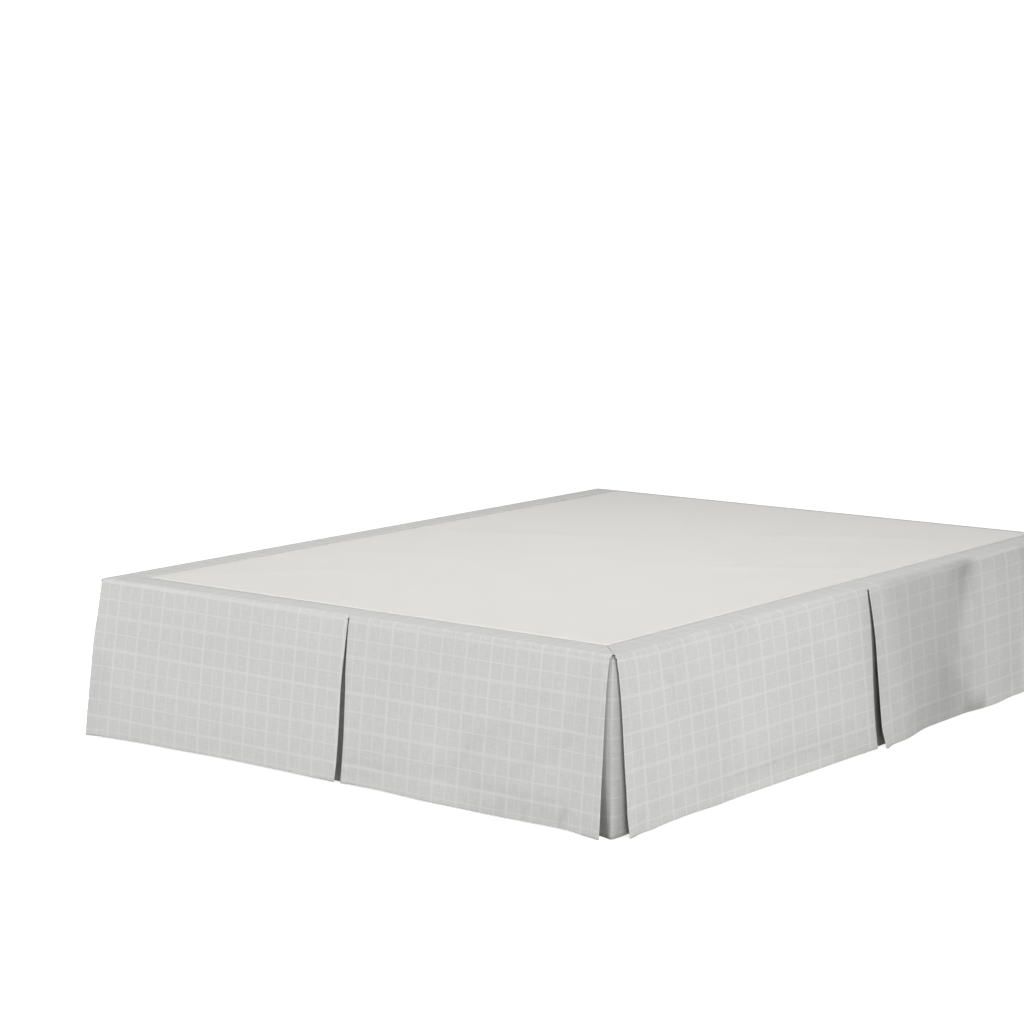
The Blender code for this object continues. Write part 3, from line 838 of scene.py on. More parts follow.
def check_count(panel, cloth, down):
    """The check's two counts at a point of the cloth, given in metres."""
    at, below, depth = cloth / MM, down / MM, down / DROP
    along, share = at, min(max(depth, 0), 1)
    if panel in PULLS:
        pull, rise = (read_table(PULLS[panel], at, i) for i in (1, 2))
        along += pull * min(max(1 - depth / PULL_DEPTH, 0), 1) ** 2
        below += rise * (1 - share**2)
    if panel in SLIPS:
        aside, aside_hem, low, low_hem = (read_table(SLIPS[panel], at, i) for i in (1, 2, 3, 4))
        along -= aside + (aside_hem - aside) * share
        below -= low + (low_hem - low) * share
    return count_at(COUNT_ALONG[panel], along), count_at(COUNT_DOWN[panel], below)


print("lines on the left of the foot:", round(check_count("foot_left", 0.79, 0.1)[0]))


# %% [markdown]
# ## From a grid of points to a sheet
#
# Every cloth piece here is a grid. A row holds three runs of points: a folded end, the face
# and the other folded end. Each point also carries its place in the flat cloth, in metres,
# and its check counts, which become two UV maps. The thickness is added by a modifier.


def keep(thing, slot, *nodes):
    """Notes a finished piece: what it rides on and stands for. What it is made of, the slot, is
    not used.
    """
    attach(thing, "root")
    if nodes:
        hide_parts(*nodes)
    return thing


def mesh_object(name, build, materials):
    """A piece from a finished build, shaded smooth."""
    mesh = bpy.data.meshes.new(name)
    build.to_mesh(mesh)
    build.free()
    for material in materials:
        mesh.materials.append(material)
    mesh.shade_smooth()
    thing = bpy.data.objects.new(name, mesh)
    bpy.context.scene.collection.objects.link(thing)
    return thing


# %% Sheets
def cloth_sheet(name, grid, flip, material, turn_up=None):
    """A sheet from rows of (before, face, after) runs of (point, flat place, count, painted light
    and shade).
    """
    cloth = bmesh.new()
    flat_map = cloth.loops.layers.uv.new("cloth")
    count_map = cloth.loops.layers.uv.new("check")
    # each point keeps its painted light and shade, in per cent
    painted_layer = cloth.verts.layers.float.new("painted_light_and_shade")
    maps = {}

    def add(entry):
        point, flat, count, tone = entry
        vert = cloth.verts.new(point)
        vert[painted_layer] = tone
        maps[vert] = (flat, count)
        return vert

    def join(top, bottom):
        for a, b, c, d in zip(top, bottom, bottom[1:], top[1:]):
            face = cloth.faces.new((a, d, c, b) if flip else (a, b, c, d))
            for loop in face.loops:
                loop[flat_map].uv, loop[count_map].uv = maps[loop.vert]

    rows = [[[add(entry) for entry in run] for run in row] for row in grid]
    for upper, lower in zip(rows, rows[1:]):
        if upper[0] or upper[2]:
            join(sum(upper, []), sum(lower, []))
        else:
            join(upper[1], lower[1])
    if turn_up:
        first, last, up_rows = turn_up
        above = rows[-1][1][first:last]
        for row in up_rows:
            below = [add(entry) for entry in row]
            join(above, below)
            above = below
    thing = mesh_object(name, cloth, [material])
    solid = thing.modifiers.new("cloth thickness", "SOLIDIFY")
    solid.thickness = CLOTH
    solid.offset = -1
    solid.use_even_offset = True
    return thing


def plain_sheet(name, rows, flip, material):
    """A sheet without folded ends, from rows of entries."""
    return cloth_sheet(name, [([], row, []) for row in rows], flip, material)


print("a sheet is", CLOTH / MM, "mm thick")

# %% [markdown]
# ## The drop panels
#
# A panel is cut in one length: a border that lies on the deck, the turn over the bed's
# edge, the drop and the hem. Its free end is folded back sharply behind the face, and the
# hem is turned up inside. Points lie closer together near the ends, where the fold needs
# a smooth curve. A folded end carries a painted shade, darker than the face, which stands
# in for the little light that gets into a slit, and the painted light and shade of the drop
# fade out over the turn onto the deck.

# %% Rows and columns of a panel
DROP_ROWS, ROW_POWER, ROW_CLEAR = 64, 1.15, 0.004
PRESS_ROWS = (-4.5, -2.2, 0.0, 2.2, 4.5)
COLUMN_STEP, END_CLUSTER = 0.0105, 0.6
BORDER_STEPS, TOP_ANGLES = 6, (0, 15, 30, 45, 60, 75)


def column_shares(count):
    """Shares of a panel's width, closer together near its ends."""
    shares = [i / count for i in range(count + 1)]
    return [x - END_CLUSTER * math.sin(2 * math.pi * x) / (2 * math.pi) for x in shares]


def top_rows():
    """Rows of the border and the turn: out, height, angle of the turn, place down the cloth."""
    seam = EDGE_RADIUS - EDGE_RADIUS * math.pi / 2
    rows = []
    for i in range(BORDER_STEPS):
        out = -BORDER + (BORDER - EDGE_RADIUS) * i / BORDER_STEPS
        rows.append((out, TOP, 0.0, seam + out + EDGE_RADIUS))
    for degrees in TOP_ANGLES:
        angle = math.radians(degrees)
        out = -EDGE_RADIUS + EDGE_RADIUS * math.sin(angle)
        height = TOP - EDGE_RADIUS * (1 - math.cos(angle))
        rows.append((out, height, angle, seam + EDGE_RADIUS * angle))
    return rows


def drop_depths():
    """Rows down the drop, with closer ones at the press line above the hem."""
    first, last = EDGE_RADIUS / DROP, 1 - BEND_RADIUS / DROP
    pressed = [(HEM_PRESS_DEPTH + x) * MM / DROP for x in PRESS_ROWS]
    even = [first + (last - first) * (j / DROP_ROWS) ** ROW_POWER for j in range(DROP_ROWS + 1)]
    return sorted([d for d in even if min(abs(d - p) for p in pressed) > ROW_CLEAR] + pressed)


print("rows of a panel:", len(top_rows()) + len(drop_depths()))


# %% Entries of a panel
def panel_entry(name, point, cloth, down, tone=0.0):
    """A point of a panel with its flat place, its check counts and its painted light and shade."""
    return point, (cloth, -down), check_count(name, cloth, down), tone


def face_entry(name, edge, start, cloth, depth):
    """One entry of the face, at a place of the cloth and a depth."""
    point = place(edge, *drop_point(name, start, cloth, depth))
    return panel_entry(name, point, cloth, depth * DROP, crease_marks(name, cloth, depth)[1])


_, flat_place, counts_there, _ = face_entry("foot_left", "foot", 0.0, 0.4, 0.5)
print("flat place", flat_place, "has the counts", [round(count, 2) for count in counts_there])

# %% Folded ends
BEND_ANGLES, RETURN_STEPS = (20, 45, 70, 90, 110, 135, 160, 180), 5
# painted shade on each edge's folded ends, in per cent, and the bend's angles over which it comes
# in
BEND_PAINTED_SHADES, BEND_SHADE_FROM, BEND_SHADE_SPAN = {"foot": -52.0, "right": -18.0, "left": -18.0}, 60, 45


def folded_end(name, edge, start, bend_along, towards, depth):
    """Entries of one folded end, from the bend to the free edge behind the face."""
    splay = SPLAY_TOP + (SPLAY_HEM - SPLAY_TOP) * depth
    bend_cloth = cloth_at(name, bend_along, depth)
    _, base_out, height = drop_point(name, start, bend_cloth, depth)
    steps = []
    for degrees in BEND_ANGLES:
        angle = math.radians(degrees)
        along = bend_along + towards * BEND_RADIUS * math.sin(angle)
        out = base_out - BEND_RADIUS * (1 - math.cos(angle))
        # painted shade: it comes in round the bend and stays on the return
        tone = BEND_PAINTED_SHADES[edge] * ease((degrees - BEND_SHADE_FROM) / BEND_SHADE_SPAN)
        steps.append((along, out, height, BEND_RADIUS * angle, tone))
    for i in range(1, RETURN_STEPS + 1):
        back = RETURN_DEPTH * i / RETURN_STEPS
        cloth = cloth_at(name, bend_along - towards * back, depth)
        along, out, height = drop_point(name, start, cloth, depth)
        out -= 2 * BEND_RADIUS + splay * back
        steps.append((along, out, height, BEND_RADIUS * math.pi + back, BEND_PAINTED_SHADES[edge]))
    entries = []
    for along, out, height, used, tone in steps:
        point, cloth = place(edge, along, out, height), bend_cloth + towards * used
        entries.append(panel_entry(name, point, cloth, depth * DROP, tone))
    return entries


print("a folded end takes", round((RETURN_DEPTH + BEND_RADIUS * math.pi) / MM, 1), "mm of cloth")

# %% Turned-up hems
HEM_ANGLES, TURN_UP_STEPS = (45, 90, 135), 5


def hem_turn_up(name, edge, start, cloths):
    """Rows that go round the hem and up inside the panel."""
    last = 1 - BEND_RADIUS / DROP
    steps = []
    for degrees in HEM_ANGLES:
        angle = math.radians(degrees)
        behind, below = BEND_RADIUS * (1 - math.cos(angle)), BEND_RADIUS * math.sin(angle)
        steps.append((last, behind, below, BEND_RADIUS * angle))
    for i in range(TURN_UP_STEPS + 1):
        up = HEM_DEPTH * i / TURN_UP_STEPS
        steps.append((last - up / DROP, 2 * BEND_RADIUS, 0.0, BEND_RADIUS * math.pi + up))
    rows = []
    for depth, behind, below, used in steps:
        row = []
        for cloth in cloths:
            along, out, height = drop_point(name, start, cloth, depth)
            point = place(edge, along, out - behind, height - below)
            row.append(panel_entry(name, point, cloth, DROP + used))
        rows.append(row)
    return rows


print("a hem has", len(HEM_ANGLES) + TURN_UP_STEPS + 1, "rows")

# %% Drop panels
TONE_OVER_TOP, RETURN_CLEAR = 0.024, 0.006


def make_panel(name, edge, start, end, start_kind, end_kind):
    """A drop panel and its flat size. Only its end can lie plain at the head of the bed."""
    shares, plain_end = column_shares(round((end - start) / COLUMN_STEP)), end_kind == "head"
    grid = []
    for out, height, angle, down in top_rows():
        first = start + top_setback(start_kind, out, angle)
        last = end - top_setback(end_kind, out, angle)
        run = []
        for x in shares:
            along = first + (last - first) * x
            # painted light and shade of the drop, fading out over the turn onto the deck
            tone = crease_marks(name, along, max(down, 0.0) / DROP)[1]
            tone *= ease(1 + down / TONE_OVER_TOP)
            run.append(panel_entry(name, place(edge, along, out, height), along, down, tone))
        grid.append(([], run, []))
    for row, depth in enumerate(drop_depths()):
        first = start + end_offset(start_kind, depth) + BEND_RADIUS
        last = end + end_offset(end_kind, depth) - (0.0 if plain_end else BEND_RADIUS)
        before = folded_end(name, edge, start, first, -1, depth)[::-1]
        after = [] if plain_end else folded_end(name, edge, start, last, 1, depth)
        low, high = cloth_at(name, first, depth), cloth_at(name, last, depth)
        cloths = [low + (high - low) * x for x in shares]
        face = [face_entry(name, edge, start, cloth, depth) for cloth in cloths]
        grid.append(([], face, []) if row == 0 else (before, face, after))
    margin = RETURN_DEPTH + RETURN_CLEAR
    first = next(i for i, cloth in enumerate(cloths) if cloth > cloths[0] + margin)
    last = len(cloths) if plain_end else sum(cloth < cloths[-1] - margin for cloth in cloths)
    turn_up = (first, last, hem_turn_up(name, edge, start, cloths[first:last]))
    thing = cloth_sheet(f"panel_{name}", grid, edge == "left", face_cloth, turn_up)
    folds = 1 if plain_end else 2
    return thing, (end - start + folds * RETURN_DEPTH, BORDER + DROP + HEM_DEPTH)


for row in PANELS:
    panel, flat = make_panel(*row)
    keep(panel, "face_cloth", f"drop_{row[0]}")
    print(panel.name, "flat", [round(v, 3) for v in flat], "faces", len(panel.data.polygons))

# %% [markdown]
# ## The pleat pieces
#
# Without them the slits would show the legs. Behind each slit in the middle of an edge
# hangs one flat piece. Behind a corner slit the piece bends round the corner and is fuller
# at the hem, so a soft ridge shows between two hollows, whose shade is partly painted. The
# studio's light is so soft that it fills a slit too well, so these pieces carry a painted
# shade of their own.

# %% Centre pleats
PLEAT_ARM, PLEAT_TOP_DROP, CENTRE_PLEAT_SEAM, CENTRE_PLEAT_HEM = 0.125, 0.0036, -0.0056, 0.0045
PLEAT_TOP, PLEAT_CELL = TOP - PLEAT_TOP_DROP, 0.036
PLEAT_ROWS, PLEAT_COLUMNS, PAINTED_SHADE_TURN = 30, 24, 0.028
RIPPLE_HEIGHT, RIPPLE_ALONG, RIPPLE_DOWN = 0.7, 30, 2
CENTRE_PLEATS = (
    # name, edge, middle, how far out the hem hangs, panel whose check it continues, and the
    # painted shade in per cent before the middle and past it
    ("foot", "foot", FOOT_PLEAT, 0.014, "foot_right", -30, -30),
    ("right", "right", SIDE_PLEAT, 0.040, "right_front", -62, 0),
    ("left", "left", SIDE_PLEAT, 0.040, "left_front", -35, -35),
)


def pleat_entry(panel, point, used, depth, tone):
    """A point of a pleat piece, whose check runs on from a panel's."""
    down = PLEAT_TOP_DROP + depth * (DROP - PLEAT_TOP_DROP)
    return point, (used, -down), (used / PLEAT_CELL, count_at(COUNT_DOWN[panel], down / MM)), tone


def centre_pleat(name, edge, middle, hem_out, panel, tone, past_painted_shade):
    rows = []
    for j in range(PLEAT_ROWS + 1):
        depth = j / PLEAT_ROWS
        run = []
        for i in range(PLEAT_COLUMNS + 1):
            aside = PLEAT_ARM * (2 * i / PLEAT_COLUMNS - 1)
            drift = noise.noise(Vector((aside * RIPPLE_ALONG, depth * RIPPLE_DOWN, middle)))
            out = CENTRE_PLEAT_SEAM + (hem_out - CENTRE_PLEAT_SEAM) * belly(depth)
            out += RIPPLE_HEIGHT * MM * drift * depth
            height = PLEAT_TOP + (CENTRE_PLEAT_HEM - PLEAT_TOP) * depth
            point = place(edge, middle + aside, out, height)
            # painted shade inside the slit, turning from one value to the other at the middle
            shade = tone + (past_painted_shade - tone) * ease(aside / PAINTED_SHADE_TURN)
            run.append(pleat_entry(panel, point, aside, depth, shade))
        rows.append(run)
    return plain_sheet(f"pleat_piece_{name}", rows, edge == "left", face_cloth)


for row in CENTRE_PLEATS:
    piece = keep(centre_pleat(*row), "face_cloth", f"pleat_{row[0]}")
print("centre pleats:", [row[0] for row in CENTRE_PLEATS])

# %% Plan of a corner pleat
# from the bed's corner, in millimetres: at the seam, halfway down and at the hem, then the
# hem's height, and the painted shade in per cent halfway down and at the hem
CORNER_PLAN = (
    (-125.0, -5.6, -125.0, 0.5, -125.0, 5.0, 4.0, 0, 0),
    (-62.0, -5.6, -60.0, 6.0, -58.0, 9.0, 2.4, 0, -28),
    (-24.0, -5.6, -19.5, 12.5, -10.0, 17.6, 0.9, -5, -37),
    (-14.0, -6.4, -7.0, 12.0, -1.5, 20.0, 0.8, -14, -11),
    (-8.9, -8.9, 1.0, 8.0, 7.0, 21.0, 1.0, -25, -12),
    (-6.5, -13.0, 11.0, -4.0, 17.0, 10.5, 4.2, -36, -42),
    (-5.6, -34.0, 14.5, -26.0, 26.0, -22.0, 9.0, -12, -24),
    (-5.6, -62.0, 13.0, -62.0, 22.0, -62.0, 6.0, 0, 0),
    (-5.6, -125.0, 4.0, -125.0, 12.0, -125.0, 4.0, 0, 0),
)
CORNER_STEPS, CORNER_START = 8, -0.15


def plan_curve(points, steps):
    """A smooth curve through points, with the given number of steps between each pair."""
    curve, last = [], len(points) - 1
    for i in range(last):
        p0, p1 = points[max(i - 1, 0)], points[i]
        p2, p3 = points[i + 1], points[min(i + 2, last)]
        for k in range(steps):
            x = k / steps
            curve.append(
                p1 + (p2 - p0) * (0.5 * x) + (p0 * 2 - p1 * 5 + p2 * 4 - p3) * (0.5 * x**2)
                + (p1 * 3 - p0 - p2 * 3 + p3) * (0.5 * x**3)
            )
    return curve + [points[last]]


print("points of a corner pleat's plan:", (len(CORNER_PLAN) - 1) * CORNER_STEPS + 1)


def corner_pleat(name, side):
    seam, middle, hem = (
        plan_curve([Vector(row[k:k + 2]) * MM for row in CORNER_PLAN], CORNER_STEPS)
        for k in (0, 2, 4)
    )
    hem_and_painted_shade = plan_curve([Vector(row[6:]) for row in CORNER_PLAN], CORNER_STEPS)
    rows = []
    for j in range(PLEAT_ROWS + 1):
        depth = j / PLEAT_ROWS
        at_half, at_hem = 4 * depth * (1 - depth), depth * (2 * depth - 1)
        run, used, before = [], CORNER_START, seam[0]
        for a, half, b, (low, half_painted_shade, tone) in zip(seam, middle, hem, hem_and_painted_shade):
            plan = a * (1 - at_half - at_hem) + half * at_half + b * at_hem
            height = PLEAT_TOP + (low * MM - PLEAT_TOP) * depth
            point = Vector((side * (BED_WIDTH / 2 + plan.x), FOOT_Y - plan.y, height))
            used += (a - before).length
            before = a
            # painted shade of the corner pleat, from halfway down to the hem
            shade = half_painted_shade + (tone - half_painted_shade) * ease(2 * depth - 1)
            run.append(pleat_entry("foot_right", point, used, depth, shade))
        rows.append(run)
    return plain_sheet(f"pleat_piece_{name}", rows, side < 0, face_cloth)


for name, side in (("corner_right", 1), ("corner_left", -1)):
    piece = keep(corner_pleat(name, side), "face_cloth", f"pleat_{name}")

# %% [markdown]
# ## The deck
#
# The deck is one plain sheet, laid flat and sewn to the panels' borders. It isn't pressed,
# so it keeps shallow ripples that fade out at the seams. A grid moved by a few long waves
# and noise gives them, because a simulation of a sheet at rest would only come out flat.

# %% Deck
DECK_STEP, DECK_FLAT_EDGE = 0.017, 0.07
DECK_DRIFT, DECK_DRIFT_ALONG, DECK_SEED = 0.5, 5, 2.0
RIPPLES = (
    # start (x, y), end (x, y), half width, height, all in millimetres
    (-640, -840, -380, -560, 60, 1.8), (560, -860, 250, -470, 70, 2.0),
    (-90, -900, -40, -300, 55, 1.2), (-600, 100, -200, 260, 60, 1.5),
    (640, 260, 320, 40, 55, 1.7), (100, 520, 520, 760, 70, 1.6),
    (-420, 900, -150, 560, 60, 1.4), (330, -120, 420, 420, 50, 1.1),
    (-500, -300, 60, -180, 65, 1.0),
)


def deck_height(x, y, edge_distance):
    """The deck's small rise at a point, in metres. It is flat at its seams."""
    total = 0.0
    for *line, half_width, height in RIPPLES:
        total += height * near_line(x / MM, y / MM, *line, half_width)
    drift = noise.noise(Vector((x * DECK_DRIFT_ALONG, y * DECK_DRIFT_ALONG, DECK_SEED)))
    return (total + DECK_DRIFT * (1 + drift)) * MM * ease(edge_distance / DECK_FLAT_EDGE)


def make_deck():
    """The deck and its flat size."""
    half = BED_WIDTH / 2 - BORDER - SEAM_GAP
    foot = FOOT_Y + BORDER + SEAM_GAP
    columns, count = round(2 * half / DECK_STEP), round((HEAD_Y - foot) / DECK_STEP)
    rows = []
    for j in range(count + 1):
        y = HEAD_Y + (foot - HEAD_Y) * j / count
        run = []
        for i in range(columns + 1):
            x = -half + 2 * half * i / columns
            edge_distance = min(x + half, half - x, y - foot, HEAD_Y - y)
            point = Vector((x, y, TOP + deck_height(x, y, edge_distance)))
            run.append((point, (x, y), (x, y), 0.0))
        rows.append(run)
    return plain_sheet("deck_sheet", rows, False, deck_cloth), (2 * half, HEAD_Y - foot)


deck, deck_flat = make_deck()
keep(deck, "deck_cloth", "deck")
print("deck", [round(v, 3) for v in deck_flat])

# %% [markdown]
# ## The box spring
#
# It is a stuffed box in striped ticking: the side swells slightly between two taped edges.
# A bevelled cube would miss the tape, so one side profile is drawn and carried round the
# rounded plan, as a moulding is. The underside is covered with thin grey cloth.

# %% Ticking, tape and dust cloth
TICKING_COLOUR, STRIPE_COLOUR, STRIPE_PITCH = (0.66, 0.64, 0.60), (0.36, 0.38, 0.40, 1.0), 0.036
# the broad and the fine stripe: place in the repeat, and from where to where its edge fades
STRIPES = ((0.0, 0.0042, 0.0048), (0.010, 0.0006, 0.0010))


def ticking_material():
    material, tree, shader = new_material("ticking", roughness=0.88)
    woven = woven_cloth(tree, threads=1500.0, slub=0.7, fine=0.3, mottled=0.4)
    dark, pale = paler(TICKING_COLOUR, 0.94), paler(TICKING_COLOUR, 1.05)
    ground = blend_colour(tree, woven["Tone"], dark, pale)
    along = axes_of(tree, map_of(tree, "cloth"))[0]
    stripes = []
    for at, inside, outside in STRIPES:
        away = spacing_from(tree, along, STRIPE_PITCH, at)
        stripes.append(fade(tree, away, inside, outside, at_low=1.0, at_high=0.0))
    striped = blend_colour(tree, calc(tree, "MAXIMUM", *stripes), ground, STRIPE_COLOUR)
    tree.links.new(striped, shader.inputs["Base Color"])
    bump(tree, shader, woven["Height"], strength=0.3, distance=0.0002)
    return material


def plain_cloth_material(name, dark, light, threads, roughness):
    material, tree, shader = new_material(name, roughness)
    woven = woven_cloth(tree, threads, slub=0.6, fine=0.3, mottled=0.6)
    tree.links.new(blend_colour(tree, woven["Tone"], dark, light), shader.inputs["Base Color"])
    bump(tree, shader, woven["Height"], strength=0.4, distance=0.0003)
    return material


ticking = ticking_material()
tape = plain_cloth_material("edge_tape", grey(0.50), grey(0.62), 900.0, 0.85)
dust_cloth = plain_cloth_material("dust_cloth", grey(0.20), grey(0.30), 600.0, 0.95)
print("box spring materials:", ticking.name, tape.name, dust_cloth.name)

# %% Box spring profile
SPRING_SETBACK, SPRING_LOW, SPRING_TOP = 0.010, 0.180, 0.3800
EDGE_ROUND, FACE_INSET, SIDE_INSET, SIDE_SWELL, SIDE_STEPS = 0.011, 0.060, 0.0032, 0.0020, 10
TAPE_WIDTH, TAPE_PROUD, TAPE_STEP, TAPE_UNDER, TAPE_OVER = 0.016, 0.0022, 0.0012, 0.016, 0.018
TICKING, TAPE, DUST = 0, 1, 2


def spring_profile():
    """Rows of inwards, height and the band above, from the underside round to the top."""
    rows = [(FACE_INSET, SPRING_LOW, DUST), (TAPE_UNDER, SPRING_LOW, DUST)]
    rows.append((EDGE_ROUND, SPRING_LOW, TAPE))
    for degrees in (30, 60, 90):
        sine, cosine = math.sin(math.radians(degrees)), math.cos(math.radians(degrees))
        rows.append((EDGE_ROUND * (1 - sine), SPRING_LOW + EDGE_ROUND * (1 - cosine), TAPE))
    low, high = SPRING_LOW + TAPE_WIDTH, SPRING_TOP - TAPE_WIDTH
    rows += [(0.0, low, TAPE), (TAPE_PROUD, low + TAPE_STEP, TICKING)]
    for i in range(1, SIDE_STEPS):
        share = i / SIDE_STEPS
        swell = SIDE_SWELL * math.sin(math.pi * share)
        rows.append((SIDE_INSET - swell, low + (high - low) * share, TICKING))
    rows += [(TAPE_PROUD, high - TAPE_STEP, TAPE), (0.0, high, TAPE)]
    for degrees in (0, 30, 60, 90):
        sine, cosine = math.sin(math.radians(degrees)), math.cos(math.radians(degrees))
        rows.append((EDGE_ROUND * (1 - cosine), SPRING_TOP - EDGE_ROUND * (1 - sine), TAPE))
    return rows + [(TAPE_OVER, SPRING_TOP, TICKING), (FACE_INSET, SPRING_TOP, TICKING)]


print("rows of the profile:", len(spring_profile()))

# %% Box spring plan
PLAN_RADIUS, LEAST_RADIUS, ARC_STEPS, PLAN_STEPS = 0.030, 0.003, 8, 24


def rounded_plan(inwards):
    """Points round the box spring's plan, set in by some distance."""
    half_x = BED_WIDTH / 2 - SPRING_SETBACK - inwards
    half_y = BED_LENGTH / 2 - SPRING_SETBACK - inwards
    radius = max(PLAN_RADIUS - inwards, LEAST_RADIUS)
    arcs = []
    for corner, (sx, sy) in enumerate(((1, 1), (-1, 1), (-1, -1), (1, -1))):
        x, y = sx * (half_x - radius), BED_CENTRE_Y + sy * (half_y - radius)
        angles = [math.radians(90 * (corner + k / ARC_STEPS)) for k in range(ARC_STEPS + 1)]
        arcs.append([(x + radius * math.cos(a), y + radius * math.sin(a)) for a in angles])
    points = []
    for arc, following in zip(arcs, arcs[1:] + arcs[:1]):
        (x0, y0), (x1, y1) = arc[-1], following[0]
        shares = [k / PLAN_STEPS for k in range(1, PLAN_STEPS)]
        points += arc + [(x0 + (x1 - x0) * share, y0 + (y1 - y0) * share) for share in shares]
    return points


def join_rings(build, lower, upper, band):
    """Faces between two rings of points, all of one material."""
    quads = zip(lower, lower[1:] + lower[:1], upper[1:] + upper[:1], upper)
    faces = [build.faces.new(quad) for quad in quads]
    for face in faces:
        face.material_index = band
    return faces


print("points round the plan:", len(rounded_plan(0.0)))

# %% Box spring
SHARP_SEAM = math.radians(50)


def make_box_spring():
    box = bmesh.new()
    flat_map = box.loops.layers.uv.new("cloth")
    outline = rounded_plan(0.0)
    lengths = [0.0]
    for a, b in zip(outline, outline[1:] + outline[:1]):
        lengths.append(lengths[-1] + math.dist(a, b))
    profile = spring_profile()
    rings = [
        [box.verts.new((x, y, height)) for x, y in rounded_plan(inwards)]
        for inwards, height, _ in profile
    ]
    for (_, low, band), (_, high, _), lower, upper in zip(profile, profile[1:], rings, rings[1:]):
        for face, near, far in zip(join_rings(box, lower, upper, band), lengths, lengths[1:]):
            for loop, length in zip(face.loops, (near, far, far, near)):
                spot = loop.vert.co
                loop[flat_map].uv = spot.xy if low == high else (length, spot.z)
    for ring, band in ((rings[0][::-1], DUST), (rings[-1], TICKING)):
        face = box.faces.new(ring)
        face.material_index = band
        for loop in face.loops:
            loop[flat_map].uv = loop.vert.co.xy
    thing = mesh_object("box_spring_padded", box, [ticking, tape, dust_cloth])
    thing.data.set_sharp_from_angle(angle=SHARP_SEAM)
    return thing


spring = keep(make_box_spring(), "ticking", "box_spring")
print("box spring", [round(v, 3) for v in spring.dimensions])

# %% [markdown]
# ## The legs
#
# Each leg is turned from one dark-stained blank: a mounting plate, a small bead, a gentle
# taper and a glide that protects the floor. A turned thing is a profile spun round an axis,
# so the same profile serves all nine.

# %% Leg materials
DARK_GRAIN, PALE_GRAIN = (0.060, 0.034, 0.022, 1.0), (0.125, 0.075, 0.048, 1.0)
PORE_COLOUR, VARNISH_ROUGHNESS = (0.022, 0.012, 0.008, 1.0), 0.42


def wood_material():
    material, tree, shader = new_material("leg_wood", VARNISH_ROUGHNESS)
    shader.inputs["Coat Weight"].default_value = 0.25
    shader.inputs["Coat Roughness"].default_value = 0.3
    where = own_place(tree)
    rings = stretched_noise(tree, where, (70.0, 70.0, 5.0), detail=6.0)
    pores = stretched_noise(tree, where, (420.0, 420.0, 18.0), detail=3.0)
    ringed = blend_colour(tree, fade(tree, rings, low=0.35, high=0.65), DARK_GRAIN, PALE_GRAIN)
    open_pores = fade(tree, pores, low=0.56, high=0.66, at_high=0.6)
    stained = blend_colour(tree, open_pores, ringed, PORE_COLOUR)
    marks = place_group(tree, handling, Place=where, Size=9.0, Amount=0.3)["Shade"]
    tree.links.new(stained, shader.inputs["Base Color"])
    tree.links.new(calc(tree, "MULTIPLY", marks, VARNISH_ROUGHNESS), shader.inputs["Roughness"])
    bump(tree, shader, pores, strength=0.15, distance=0.0003)
    return material


def glide_material():
    material, tree, shader = new_material("leg_glide", roughness=0.55)
    where = own_place(tree)
    scuffs = stretched_noise(tree, where, (260.0, 260.0, 260.0), detail=4.0)
    shade = blend_colour(tree, fade(tree, scuffs, low=0.4, high=0.7), grey(0.03), grey(0.07))
    tree.links.new(shade, shader.inputs["Base Color"])
    return material


leg_wood, leg_glide = wood_material(), glide_material()
print("leg materials:", leg_wood.name, leg_glide.name)

# %% Legs
LEG_SIDES, LEG_COLUMN, LEG_ROW, LEG_TURN = 40, 0.66, 0.92, 0.7
SHARP_BEAD, WOOD, GLIDE = math.radians(40), 0, 1
# profile from the floor up: radius and height in millimetres, and the material above it
LEG_PROFILE = (
    (19.0, 0.0, GLIDE), (21.0, 1.2, GLIDE), (21.5, 4.0, GLIDE), (21.5, 5.5, GLIDE),
    (20.0, 6.0, WOOD), (20.6, 8.0, WOOD), (21.4, 40.0, WOOD), (22.6, 90.0, WOOD),
    (23.6, 140.0, WOOD), (23.9, 152.0, WOOD), (23.2, 154.0, WOOD), (23.2, 156.0, WOOD),
    (24.6, 158.5, WOOD), (25.0, 161.5, WOOD), (24.6, 164.5, WOOD), (23.4, 166.5, WOOD),
    (23.4, 168.0, WOOD), (24.6, 169.2, WOOD), (25.0, 171.5, WOOD), (25.0, 178.2, WOOD),
    (24.0, 179.7, WOOD),
)


def turned_leg(name):
    """The profile spun round an upright axis."""
    leg = bmesh.new()
    angles = [2 * math.pi * k / LEG_SIDES for k in range(LEG_SIDES)]
    circle = [(math.cos(angle), math.sin(angle)) for angle in angles]
    rings = []
    for radius, height, _ in LEG_PROFILE:
        points = [(radius * MM * x, radius * MM * y, height * MM) for x, y in circle]
        rings.append([leg.verts.new(point) for point in points])
    for (_, _, band), lower, upper in zip(LEG_PROFILE, rings, rings[1:]):
        join_rings(leg, lower, upper, band)
    leg.faces.new(rings[0][::-1]).material_index = GLIDE
    leg.faces.new(rings[-1])
    thing = mesh_object(name, leg, [leg_wood, leg_glide])
    thing.data.set_sharp_from_angle(angle=SHARP_BEAD)
    return thing


spots = [(column, row) for row in (-1, 0, 1) for column in (-1, 0, 1)]
for number, (column, row) in enumerate(spots, 1):
    leg = turned_leg(f"turned_leg_{number}")
    leg.location = (column * LEG_COLUMN, BED_CENTRE_Y + row * LEG_ROW, 0.0)
    leg.rotation_euler.z = LEG_TURN * number
    keep(leg, "leg_wood", f"leg_{number}")
print("legs:", len(spots))

# %% [markdown]
# ## Stitches
#
# Thread shows where the border is sewn to the deck. One short rounded stitch is copied
# along each seam line. All the stitches are one mesh, so there is one object to move and
# one material.

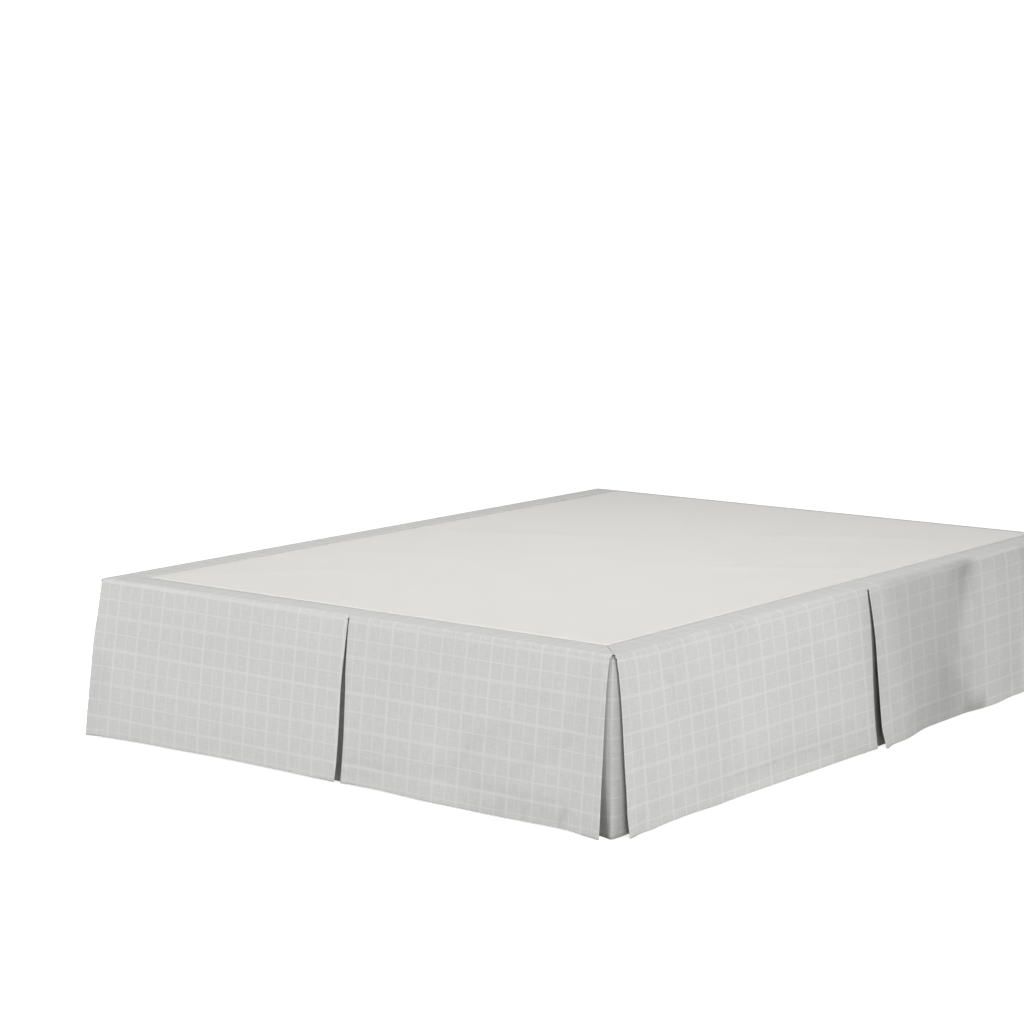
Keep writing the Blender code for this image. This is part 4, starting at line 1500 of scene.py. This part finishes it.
# %% Thread and stitch
STITCH_LENGTH, STITCH_PITCH, STITCH_RADIUS, STITCH_SUNK = 0.0031, 0.0042, 0.00035, 0.1
# along the stitch: place, rise and width, then across it: place and rise
STITCH_ALONG = ((-0.5, 0.0, 0.5), (-0.3, 1.0, 1.0), (0.3, 1.0, 1.0), (0.5, 0.0, 0.5))
STITCH_ACROSS = ((-1.0, 0.0), (-0.6, 0.8), (0.6, 0.8), (1.0, 0.0))
UP = Vector((0.0, 0.0, 1.0))
thread, thread_tree, thread_shader = new_material("thread", roughness=0.7)
twist = stretched_noise(thread_tree, own_place(thread_tree), (900.0, 900.0, 900.0))
twisted = blend_colour(thread_tree, twist, grey(0.62), grey(0.78))
thread_tree.links.new(twisted, thread_shader.inputs["Base Color"])


def stitch_line(build, start, end):
    """Adds stitches between two points: low four-sided humps."""
    run = end - start
    ahead = run.normalized()
    aside = ahead.cross(UP)
    for i in range(int(run.length / STITCH_PITCH)):
        at = start + ahead * (STITCH_PITCH * (i + 0.5))
        rings = []
        for along, lift, width in STITCH_ALONG:
            middle = at + ahead * (STITCH_LENGTH * along)
            ring = []
            for side, rise in STITCH_ACROSS:
                offset = aside * (side * width * STITCH_RADIUS)
                offset += UP * ((rise * lift + STITCH_SUNK) * 2 * STITCH_RADIUS)
                ring.append(build.verts.new(middle + offset))
            rings.append(ring)
        for lower, upper in zip(rings, rings[1:]):
            for k in range(len(STITCH_ACROSS) - 1):
                build.faces.new((lower[k], upper[k], upper[k + 1], lower[k + 1]))


print("stitches are", round(STITCH_PITCH / MM, 1), "mm apart")

# %% Stitches
STITCH_INSET, STITCH_LIFT = 0.004, 0.00005
inner = BORDER - STITCH_INSET
half, foot_seam = BED_WIDTH / 2 - inner, FOOT_Y + inner
left_foot, right_foot, right_head, left_head = (
    Vector((x, y, TOP + STITCH_LIFT))
    for x, y in ((-half, foot_seam), (half, foot_seam), (half, HEAD_Y), (-half, HEAD_Y))
)
seam = bmesh.new()
for start, end in ((left_foot, right_foot), (right_foot, right_head), (left_foot, left_head)):
    stitch_line(seam, start, end)
border_seam = keep(mesh_object("border_stitches", seam, [thread]), "face_cloth")
faces_each = (len(STITCH_ALONG) - 1) * (len(STITCH_ACROSS) - 1)
print("stitches:", len(border_seam.data.polygons) // faces_each)

# %% [markdown]
# ## Floor
#
# The floor is only a stage, so it isn't part of the object.

# %% Floor
FLOOR_REACH, FLOOR_DROP, FLOOR_GLOW = 30.0, 0.0006, 0.86
square = ((-1, -1), (1, -1), (1, 1), (-1, 1))
corners = [(x * FLOOR_REACH, y * FLOOR_REACH, -FLOOR_DROP) for x, y in square]
floor_mesh = bpy.data.meshes.new("floor")
floor_mesh.from_pydata(corners, [], [(0, 1, 2, 3)])
floor = bpy.data.objects.new("floor", floor_mesh)
bpy.context.scene.collection.objects.link(floor)
floor_material, floor_tree, floor_shader = new_material("white_floor", roughness=0.9)
floor_shader.inputs["Base Color"].default_value = grey(0.80)
floor_shader.inputs["Emission Color"].default_value = grey(1.0)
glow_seen = floor_tree.nodes.new("ShaderNodeLightPath").outputs["Is Camera Ray"]
floor_glow = calc(floor_tree, "MULTIPLY", glow_seen, FLOOR_GLOW)
floor_tree.links.new(floor_glow, floor_shader.inputs["Emission Strength"])
floor_mesh.materials.append(floor_material)
print("floor reaches", FLOOR_REACH, "m each way")
